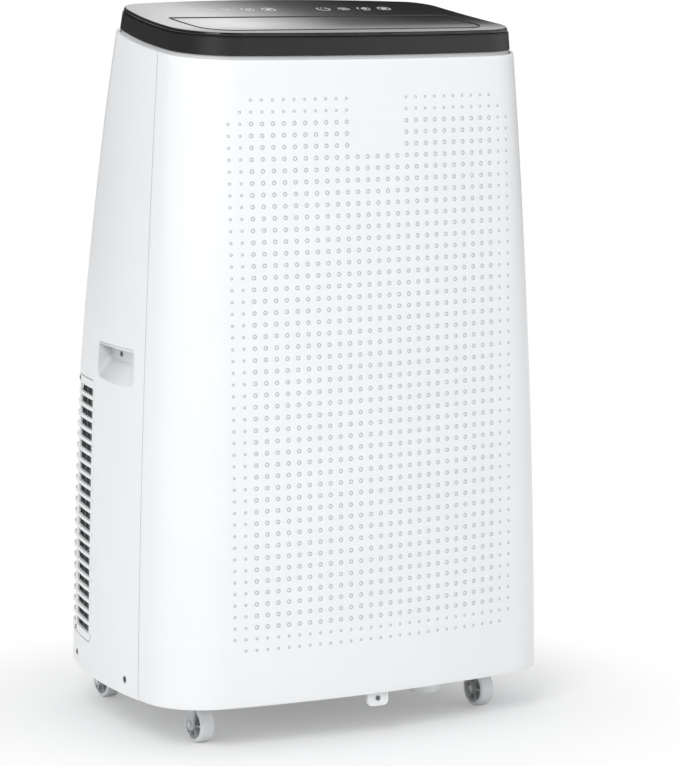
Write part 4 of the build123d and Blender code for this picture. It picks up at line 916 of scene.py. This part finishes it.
@dataclass
class CrossScrew:
    """Screw head with a cross recess. The profile is in shares of the radius and height."""

    radius: float = 3.4
    height: float = 1.5
    cross: float = 1.9
    slot: float = 0.42
    sink: float = 0.8
    taper: float = 0.8
    profile: tuple[Pair, ...] = ((1.0, 0.0), (1.0, 0.55), (0.9, 0.88), (0.72, 1.0))
    sides: int = 24

    def add(self, mesh: Mesh, place: Matrix) -> None:
        """Add one head to a mesh.

        Args:
            mesh: Mesh that takes the head.
            place: Head position, with its axis along z and the seat at the origin.
        """
        def put(x: float, y: float, z: float) -> int:
            """Add a placed vertex."""
            return mesh.point(tuple(place @ Vector((x, y, z))))

        turns = steps(0.0, 2 * pi, self.sides)[:-1]
        loops = []
        for share, rise in self.profile:
            r, z = share * self.radius, rise * self.height
            loops.append([put(r * cos(turn), r * sin(turn), z) for turn in turns])
        mesh.face(*reversed(loops[0]))
        for first, second in zip(loops, loops[1:]):
            mesh.ring(first, second)
        a, b = self.slot, self.cross
        corners = [(b, -a), (b, a), (a, a), (a, b), (-a, b), (-a, a),
                   (-b, a), (-b, -a), (-a, -a), (-a, -b), (a, -b), (a, -a)]
        rim = [put(x, y, self.height) for x, y in corners]
        deep = [put(x * self.taper, y * self.taper, self.height - self.sink) for x, y in corners]
        mesh.ring(rim, deep)
        mesh.face(*deep)
        crown = loops[-1]
        spread = self.sides // 4
        for quarter in range(4):
            arm = [rim[(3 * quarter + k) % len(rim)] for k in range(4)]
            arc = [crown[(quarter * spread + k) % self.sides] for k in range(spread + 1)]
            mesh.face(arm[1], *arc[:spread // 2 + 1], arm[2])
            mesh.face(arm[2], *arc[spread // 2:], arm[3])
            mesh.face(arm[0], arc[0], arm[1])


@dataclass
class FilterCloth:
    """Thin cloth stretched in a filter frame, following the back of the body.

    It runs round both corners from start_y, or lies between half widths where half is given.
    """

    name: str
    body: str
    inset: float
    low: float
    high: float
    counts: tuple[int, int, int]
    start_y: float = 0.0
    half: float = 0.0
    rows: int = 20
    thickness: float = 0.4

    def spots(self, z: float, inset: float) -> list[Spot]:
        """Find the plan positions of one row.

        Args:
            z: Height of the row.
            inset: Distance inside the outer face.

        Returns:
            Positions from the right end to the left end.
        """
        outline = Outline(z, inset, rear=True)
        if self.half > 0:
            rear, xs = outline.end, steps(self.half, -self.half, self.counts[2])
            return [(x, rear.centre[1] + sqrt(rear.radius**2 - x**2)) for x in xs]
        right = outline.walk(self.start_y, self.counts)
        return right + [(-x, y) for x, y in reversed(right[:-1])]

    def build(self) -> None:
        """Build the cloth as a thin closed sheet, one closed loop of both faces per row."""
        mesh = Mesh()
        loops = []
        for z in steps(self.low, self.high, self.rows):
            outer, inner = (self.spots(z, self.inset + t) for t in (0.0, self.thickness))
            loops.append([(x, y, z) for x, y in outer + inner[::-1]])
        mesh.tube(loops, closed=False)
        mesh.piece(self.name, self.body, Slot.FILTER_GREY, MESH_CLOTH)


@dataclass
class GrilleGapShade:
    """Dark strip of painted shade in the gap round the lower grille."""

    edge_y: float = 47.5
    low: float = 76.5
    high: float = 344.0
    corner: float = 12.0
    gap: float = 0.9
    margin: float = 0.06
    insets: Pair = (0.4, 1.2)
    counts: tuple[int, int, int] = (6, 8, 16)
    corner_steps: int = 6
    side_steps: int = 24

    def loop(self, offset: float, inset: float) -> list[Point]:
        """Return one closed run round the grille.

        Args:
            offset: Distance inside the housing's window.
            inset: Distance inside the outer face.

        Returns:
            Points of the run.
        """
        low, high, edge = self.low + offset, self.high - offset, self.edge_y + offset
        r = self.corner - offset
        turns = steps(0.0, pi / 2, self.corner_steps)
        spots = [(edge + r - r * sin(t), low + r - r * cos(t)) for t in turns]
        spots += [(edge, z) for z in steps(low + r, high - r, self.side_steps)[1:-1]]
        spots += [(edge + r - r * cos(t), high - r + r * sin(t)) for t in turns]
        below, above = (Outline(z, inset, rear=True).walk(edge + r, self.counts)[1:]
                        for z in (low, high))
        run = [(x, y, low) for x, y in reversed(below)]
        run += [(Outline(z, inset, rear=True).place(y)[0], y, z) for y, z in spots]
        run += [(x, y, high) for x, y in above]
        return run + [(-x, y, z) for x, y, z in reversed(run[1:-1])]

    def build(self) -> None:
        """Build the painted shade as a thin closed strip."""
        mesh = Mesh()
        near, far = self.margin, self.gap - self.margin
        top, deep = self.insets
        section = ((near, top), (far, top), (far, deep), (near, deep))
        mesh.tube([self.loop(*corner) for corner in section], closed=True)
        mesh.piece("grille_gap_shade", "housing", Slot.RUBBER_GREY, GAP_SHADE)


@dataclass
class SeamGapShade:
    """Dark strip of painted shade in the upright seam between front shell and rear housing."""

    middle: float = -80.0
    half: float = 0.2
    low: float = 46.0
    top_drop: float = 27.0
    insets: Pair = (0.5, 1.2)
    rows: int = 40

    def build(self) -> None:
        """Build both strips."""
        mesh = Mesh()
        top = FORM.deck_z(self.middle, self.top_drop)
        outer, inner = self.insets
        front, rear = self.middle - self.half, self.middle + self.half
        section = ((front, outer), (rear, outer), (rear, inner), (front, inner))
        for side in Side:
            loops = []
            for z in steps(self.low, top, self.rows):
                x = FORM.side_x(self.middle, z)
                loops.append([(side.value * (x - inset), y, z) for y, inset in section])
            mesh.tube(loops, closed=False)
        mesh.piece("seam_gap_shade", "housing", Slot.RUBBER_GREY, GAP_SHADE)


@dataclass
class RearShell:
    """Sides and back: housing, grilles, filters, handle cups and their screws."""

    screw: CrossScrew = field(default_factory=CrossScrew)
    small_screw: CrossScrew = field(default_factory=lambda: CrossScrew(
        radius=2.6, height=1.2, cross=1.5, slot=0.34, sink=0.6))
    side_spots: tuple[Spot, ...] = ((-50.5, 59.0), (109.0, 56.0))
    grille_spots: tuple[Spot, ...] = ((117.5, 339.5), (117.5, 81.0))
    seat: float = 1.6
    grille_seat: float = 0.6
    handle_spot: Spot = (-9.5, 367.5)
    handle_depth: float = 13.5
    handle_screw_run: float = 13.5
    handle_screw_rise: float = 8.0
    cloths: tuple[FilterCloth, ...] = (
        FilterCloth("lower_cloth", "housing", inset=6.0, low=80.0, high=340.0,
                    counts=(12, 8, 16), start_y=51.5),
        FilterCloth("upper_cloth", "intake_cover", inset=5.2, low=536.0, high=660.0,
                    counts=(0, 0, 24), half=144.0))

    def dress(self) -> None:
        """Give the shell's nodes their finishes."""
        dress_nodes({Slot.WHITE_SHELL: ("rear_housing", "lower_grille", "upper_grille"),
                     Slot.FILTER_GREY: ("upper_filter", "lower_filter")})
        for node in ("handle_cup_left", "handle_cup_right"):
            # the handle cups carry painted shade
            dress_node(node, Slot.WHITE_SHELL, POCKET_SHADED)

    def heads(self, name: str, screw: CrossScrew,
              seats: list[tuple[Point, float]]) -> bpy.types.Object:
        """Build screw heads on both side faces.

        Args:
            name: Piece name.
            screw: Kind of screw.
            seats: Place of each seat on the right side, and the turn of the face's normal
                from straight out towards the rear.

        Returns:
            The piece with all heads.
        """
        mesh = Mesh()
        for side in Side:
            for (x, y, z), turn in seats:
                normal = Vector((side.value * cos(turn), sin(turn), 0.0))
                turned = UP.rotation_difference(normal).to_matrix().to_4x4()
                screw.add(mesh, Matrix.Translation((side.value * x, y, z)) @ turned)
        # the heads get painted shade
        return mesh.piece(name, "housing", Slot.SCREW_STEEL, SCREW_SHADED)

    def screws(self) -> None:
        """Build the screws of the sides, of the lower grille's corners and of the handle cups."""
        seats = [((FORM.side_x(y, z) - self.seat, y, z), 0.0) for y, z in self.side_spots]
        heads = self.heads("side_screws", self.screw, seats)
        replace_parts(heads, "housing_screws")
        seats = []
        for y, z in self.grille_spots:
            x, turn = Outline(z, self.grille_seat, rear=True).place(y)
            seats.append(((x, y, z), turn))
        self.heads("grille_screws", self.small_screw, seats)
        y, z = self.handle_spot
        turn = FORM.side(z, 0.0).turn_at(y)
        run, depth = self.handle_screw_run, self.handle_depth
        x = FORM.side_x(y, z) - depth * cos(turn) - run * sin(turn)
        y += run * cos(turn) - depth * sin(turn)
        seats = [((x, y, z + self.handle_screw_rise), turn)]
        self.heads("handle_screws", self.small_screw, seats)

    def build(self) -> None:
        """Build and dress the rear shell."""
        self.dress()
        self.screws()
        # the grille and seam gap shades are dark strips of painted shade
        for piece in (GrilleGapShade(), SeamGapShade(), *self.cloths):
            piece.build()


# Top


class Sign(Enum):
    """Plain signs printed on the deck, as arcs and bars in millimetres.

    An arc is its inner and outer radius and its first and last turn in degrees. A bar is its rise
    over the middle of the row and its half length.
    """

    RING = (((6.25, 7.4, 120, 420),), ((5.18, 1.15),))
    BARS = ((), ((-4.44, 4.81), (0.0, 6.66), (4.44, 4.81)))
    FAN = (((6.25, 7.4, 0, 75), (6.25, 7.4, 120, 195), (6.25, 7.4, 240, 315),
            (1.48, 3.108, 0, 360)), ())
    DISC = (((6.25, 7.4, 0, 360), (0.2, 2.96, 0, 360)), ())


@dataclass
class SignRow:
    """Row of small printed signs that lie on the deck behind the flap, in two groups."""

    starts: Pair = (-97.0, 39.0)
    pitch: float = 24.0
    line_y: float = 2.0
    heights: Pair = (-0.2, 0.06)
    line: float = 1.15
    arc_steps: int = 24
    mesh: Mesh = field(default_factory=Mesh)

    def strip(self, inner: list[Spot], outer: list[Spot], closed: bool) -> None:
        """Add a thin strip that lies on the deck.

        Args:
            inner: Plan of one edge.
            outer: Plan of the other edge.
            closed: Whether the strip runs back to its start.
        """
        low, high = self.heights
        loops = []
        for first, second in zip(inner, outer):
            corners = ((first, low), (second, low), (second, high), (first, high))
            loops.append([(x, y, FORM.deck_z(y, -h)) for (x, y), h in corners])
        self.mesh.tube(loops, closed)

    def sign(self, sign: Sign, x: float) -> None:
        """Add one sign.

        Args:
            sign: Sign to add.
            x: Middle of the sign.
        """
        arcs, bars = sign.value
        for inner, outer, first, last in arcs:
            closed = last - first == FULL_TURN
            turns = steps(radians(first), radians(last), self.arc_steps)
            if closed:
                turns.pop()
            self.strip(*([(x + r * cos(turn), self.line_y + r * sin(turn)) for turn in turns]
                         for r in (inner, outer)), closed)
        for rise, half in bars:
            y, h = self.line_y + rise, self.line / 2
            self.strip(*([(x - half, edge), (x + half, edge)] for edge in (y - h, y + h)), False)

    def build(self) -> None:
        """Build both groups of signs."""
        for start in self.starts:
            for k, sign in enumerate(Sign):
                self.sign(sign, start + k * self.pitch)
        self.mesh.piece("deck_signs", "housing", Slot.PALE_GREY, ICON_PRINT)


@dataclass
class FlapGapShade:
    """Thin dark ridge of painted shade round the outlet flap, standing in for its shadow gap."""

    half_width: float = 158.0
    front: float = -124.0
    rear: float = -38.7
    corner: float = 29.0
    offsets: Pair = (0.95, 1.6)
    heights: Pair = (-0.3, 0.55)
    side_steps: int = 12
    corner_steps: int = 10

    def loop(self, offset: float, height: float) -> list[Point]:
        """Return one closed run round the flap.

        Args:
            offset: Distance outside the flap's outline.
            height: Height over the deck.

        Returns:
            Points of the run.
        """
        half, front, rear = self.half_width + offset, self.front - offset, self.rear + offset
        r = self.corner + offset
        turns = steps(0.0, pi / 2, self.corner_steps)
        side = [(half, y) for y in steps(rear, front + r, self.side_steps)[:-1]]
        side += [(half - r + r * cos(turn), front + r - r * sin(turn)) for turn in turns]
        side += [(-x, y) for x, y in reversed(side)]
        return [(x, y, FORM.deck_z(y, 0.0) + height) for x, y in side]

    def build(self) -> None:
        """Build the painted shade as a thin closed strip."""
        mesh = Mesh()
        near, far = self.offsets
        low, high = self.heights
        section = ((near, low), (near, high), (far, high), (far, low))
        mesh.tube([self.loop(*corner) for corner in section], closed=True)
        mesh.piece("flap_gap_shade", "housing", Slot.RUBBER_GREY, GAP_SHADE)


@dataclass
class TopDeck:
    """Dark top: neck, band, deck and flap with its drive."""

    signs: SignRow = field(default_factory=SignRow)
    # dark ridge of painted shade round the flap
    rim: FlapGapShade = field(default_factory=FlapGapShade)

    def build(self) -> None:
        """Dress the top and build what lies on it."""
        dress_node("neck_frame", Slot.PALE_GREY, NECK_PALE)
        dress_nodes({
            Slot.BLACK_SATIN: ("top_band",),
            Slot.BLACK_GLOSS: ("top_panel", "outlet_flap"),
            Slot.DUCT_BLACK: ("outlet_duct",),
            Slot.PALE_GREY: ("flap_crank", "flap_link"),
            Slot.MOTOR_STEEL: ("flap_motor",),
            Slot.BOARD_GREEN: ("control_board",),
        })
        self.signs.build()
        self.rim.build()


# Base


@dataclass
class Base:
    """Tray with its lug and sump, and the four casters."""

    corners: tuple[str, ...] = ("front_left", "front_right", "rear_left", "rear_right")
    tyre: Colour = (0.76, 0.765, 0.77)
    # hub grey, partly the hub's own colour and partly painted shade on the wheel face
    hub: Colour = (0.40, 0.405, 0.41)
    tyre_share: float = 0.76

    def wheel(self, corner: str) -> Caster:
        """Fit the finish of a wheel to its place.

        Args:
            corner: Corner of the wheel.

        Returns:
            The finish, with its hub about the wheel's middle.
        """
        low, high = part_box(f"wheel_{corner}")
        middle = (Vector(low) + Vector(high)) / 2
        tyre = self.tyre_share * (high[2] - low[2]) / 2
        return Caster(f"caster wheel {corner}", self.tyre, roughness=0.5, mottle=0.04,
                      hub=self.hub, middle=tuple(middle), tyre=tyre)

    def build(self) -> None:
        """Dress the base."""
        dress_nodes({Slot.WHITE_SHELL: ("base_tray", "sump_cup")})
        # the lug screw gets painted shade
        dress_node("lug_screw", Slot.SCREW_STEEL, SCREW_SHADED)
        for corner in self.corners:
            dress_node(f"fork_{corner}", Slot.CASTER_GREY)
            dress_node(f"wheel_{corner}", Slot.CASTER_GREY, self.wheel(corner))
            dress_node(f"axle_{corner}", Slot.SCREW_STEEL)


# Works


@dataclass
class Works:
    """Pieces inside the housing and the fittings at the back."""

    nodes: dict[Slot, tuple[str, ...]] = field(default_factory=lambda: {
        Slot.WHITE_SHELL: ("exhaust_collar",),
        Slot.DUCT_BLACK: ("exhaust_plenum", "upper_scroll", "upper_fan", "lower_scroll",
                          "lower_fan"),
        Slot.RUBBER_GREY: ("drain_cap", "compressor_grommets"),
        Slot.PALE_GREY: ("cord_gland", "mid_shelf", "drip_tray"),
        Slot.MOTOR_STEEL: ("upper_motor", "lower_motor"),
        Slot.COIL_ALUMINIUM: ("evaporator_coil", "condenser_coil"),
        Slot.COMPRESSOR_BLACK: ("compressor", "accumulator"),
        Slot.COPPER_LINE: ("discharge_line", "suction_line", "liquid_line"),
        Slot.BOX_ZINC: ("electrical_box",),
    })

    def build(self) -> None:
        """Dress the works."""
        dress_nodes(self.nodes)


# Studio


@dataclass(frozen=True)
class Lamp:
    """One soft square lamp, in metres and watts."""

    name: str
    place: Point
    size: float
    power: float
    aim: Point = (0.0, 0.0, 0.4)

    def build(self) -> None:
        """Hang the lamp."""
        data = bpy.data.lights.new(self.name, "AREA")
        data.shape, data.size, data.energy = "SQUARE", self.size, self.power
        thing = bpy.data.objects.new(self.name, data)
        thing.location = self.place
        facing = Vector(self.aim) - Vector(self.place)
        thing.rotation_euler = facing.to_track_quat("-Z", "Y").to_euler()
        bpy.context.scene.collection.objects.link(thing)


@dataclass
class Studio:
    """Camera, lamps, floor and background."""

    eye: Point = (-1.7143, -2.9612, 0.7619)
    azimuth: float = -31.583
    elevation: float = 6.906
    focal_px: float = 3371.84
    principal: Spot = (380.30, 370.24)
    frame_px: Spot = (679.0, 766.0)
    sensor: float = 36.0
    clip_end: float = 30.0
    floor_half: float = 6.0
    floor_tone: Colour = (0.93, 0.93, 0.93)
    floor_roughness: float = 0.9
    floor_fade: Pair = (0.2, 0.48)
    floor_glow: float = 0.2
    world_tone: Colour = (0.97, 0.985, 1.0)
    world_light: float = 0.72
    card_turn: float = 31.0
    card_rise: Pair = (0.0, 0.1)
    card_light: Pair = (0.25, 2.2)
    card_stops: tuple[Pair, ...] = (
        (0.0, 0.06), (0.40, 0.08), (0.455, 0.18), (0.474, 0.5), (0.492, 0.85), (0.507, 0.1),
        (0.519, 0.02), (0.62, 0.02), (0.8, 0.25), (0.87, 0.6), (0.93, 0.25), (1.0, 0.2))
    horizon: Pair = (0.18, 0.215)
    horizon_stops: tuple[Pair, ...] = (
        (0.0, 0.06), (0.3, 0.06), (0.42, 0.24), (0.5, 0.3), (0.58, 0.55), (0.7, 0.08),
        (0.82, 0.3), (1.0, 1.0))
    lamps: tuple[Lamp, ...] = (Lamp("key", (-2.1, -2.0, 2.3), 1.5, 50.0),
                               Lamp("fill", (2.2, -1.6, 1.6), 1.4, 4.0))

    def camera(self) -> None:
        """Place the camera."""
        a, e = radians(self.azimuth), radians(self.elevation)
        back = Vector((sin(a) * cos(e), -cos(a) * cos(e), sin(e)))
        right = Vector((cos(a), sin(a), 0.0))
        up = back.cross(right)
        across, down = ((size / 2 - middle) / self.focal_px
                        for size, middle in zip(self.frame_px, self.principal))
        aim = (right * across - up * down - back).normalized()
        view = bpy.data.cameras.new("camera")
        view.sensor_width = self.sensor
        view.lens = self.sensor * self.focal_px / self.frame_px[1]
        view.clip_end = self.clip_end
        eye = bpy.data.objects.new("camera", view)
        side = aim.cross(UP).normalized()
        turn = Matrix((side, side.cross(aim), -aim)).transposed().to_4x4()
        eye.matrix_world = Matrix.Translation(self.eye) @ turn
        bpy.context.scene.collection.objects.link(eye)
        bpy.context.scene.camera = eye

    def ramp(self, net: Nodes, share: Socket, stops: tuple[Pair, ...]) -> Socket:
        """Add a ramp of greys.

        Args:
            net: Tree that takes it.
            share: Place on the ramp.
            stops: Place and level of each stop.

        Returns:
            The grey at the place.
        """
        node = net.add("ValToRGB", {"Fac": share})
        made = node.color_ramp.elements
        for k, (spot, level) in enumerate(stops):
            stop = made[k] if k < 2 else made.new(spot)  # a new ramp has two stops
            stop.position = spot
            stop.color = (level, level, level, 1.0)
        return node.outputs["Color"]

    def world(self) -> None:
        """Light the scene evenly, with a white background and a soft card that gloss reflects."""
        sky = bpy.data.worlds.new("studio")
        net = Nodes(sky)
        place = net.add("TexCoord").outputs["Generated"]
        turn = radians(self.card_turn)
        axis = (cos(turn), -sin(turn), 0.0)
        across = net.add("VectorMath", {0: place, 1: axis}, operation="DOT_PRODUCT")
        share = net.ranged(across.outputs["Value"], (-1.0, 1.0))
        rise = net.add("SeparateXYZ", {0: place}).outputs["Z"]
        blend = net.add("MixRGB", {
            "Fac": net.ranged(rise, self.horizon, smooth=True),
            "Color1": self.ramp(net, share, self.horizon_stops),
            "Color2": self.ramp(net, share, self.card_stops)})
        light = net.ranged(rise, self.card_rise, self.card_light, smooth=True)
        card = net.add("Background", {"Color": blend.outputs["Color"], "Strength": light})
        white = net.add("Background", {"Color": WHITE})
        even = net.tree.nodes["Background"]
        net.fill(even, {"Color": self.world_tone, "Strength": self.world_light})
        path = net.add("LightPath").outputs
        surface = even.outputs[0]
        for ray, seen in (("Is Glossy Ray", card), ("Is Camera Ray", white)):
            inputs = {0: path[ray], 1: surface, 2: seen.outputs[0]}
            surface = net.add("MixShader", inputs).outputs[0]
        net.fill(net.tree.nodes["World Output"], {"Surface": surface})
        bpy.context.scene.world = sky

    def floor(self) -> None:
        """Lay the pale floor, white away from the unit."""
        mesh = bpy.data.meshes.new("floor")
        h = self.floor_half
        mesh.from_pydata([(-h, -h, 0), (h, -h, 0), (h, h, 0), (-h, h, 0)], [], [(0, 1, 2, 3)])
        plane = bpy.data.objects.new("floor", mesh)
        bpy.context.scene.collection.objects.link(plane)
        paint = Graph("floor")
        paint.fill(paint.shader, {"Base Color": self.floor_tone, "Specular IOR Level": 0.0,
                                  "Roughness": self.floor_roughness})
        reach = paint.add("VectorMath", {0: paint.place}, operation="LENGTH").outputs["Value"]
        fade = paint.ranged(reach, self.floor_fade, (self.floor_glow, 1.0), smooth=True)
        path = paint.add("LightPath").outputs
        rays = {0: path["Is Camera Ray"], 1: path["Is Glossy Ray"]}
        seen = paint.add("Math", rays, operation="MAXIMUM").outputs[0]
        share = paint.add("Math", {0: fade, 1: seen}, operation="MULTIPLY").outputs[0]
        glow = paint.add("Emission").outputs[0]
        mix = paint.add("MixShader", {0: share, 1: paint.shader.outputs[0], 2: glow})
        paint.fill(paint.tree.nodes["Material Output"], {"Surface": mix.outputs[0]})
        mesh.materials.append(paint.material)

    def build(self) -> None:
        """Build the studio."""
        bpy.context.scene.view_settings.view_transform = "Standard"
        self.camera()
        self.world()
        for lamp in self.lamps:
            lamp.build()
        self.floor()


def main() -> None:
    """Build every sub-assembly in order."""
    logging.basicConfig(level=logging.INFO, format="%(name)s: %(message)s")
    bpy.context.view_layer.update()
    FrontShell().build()
    RearShell().build()
    TopDeck().build()
    Base().build()
    Works().build()
    Studio().build()


if __name__ == "__main__":
    main()
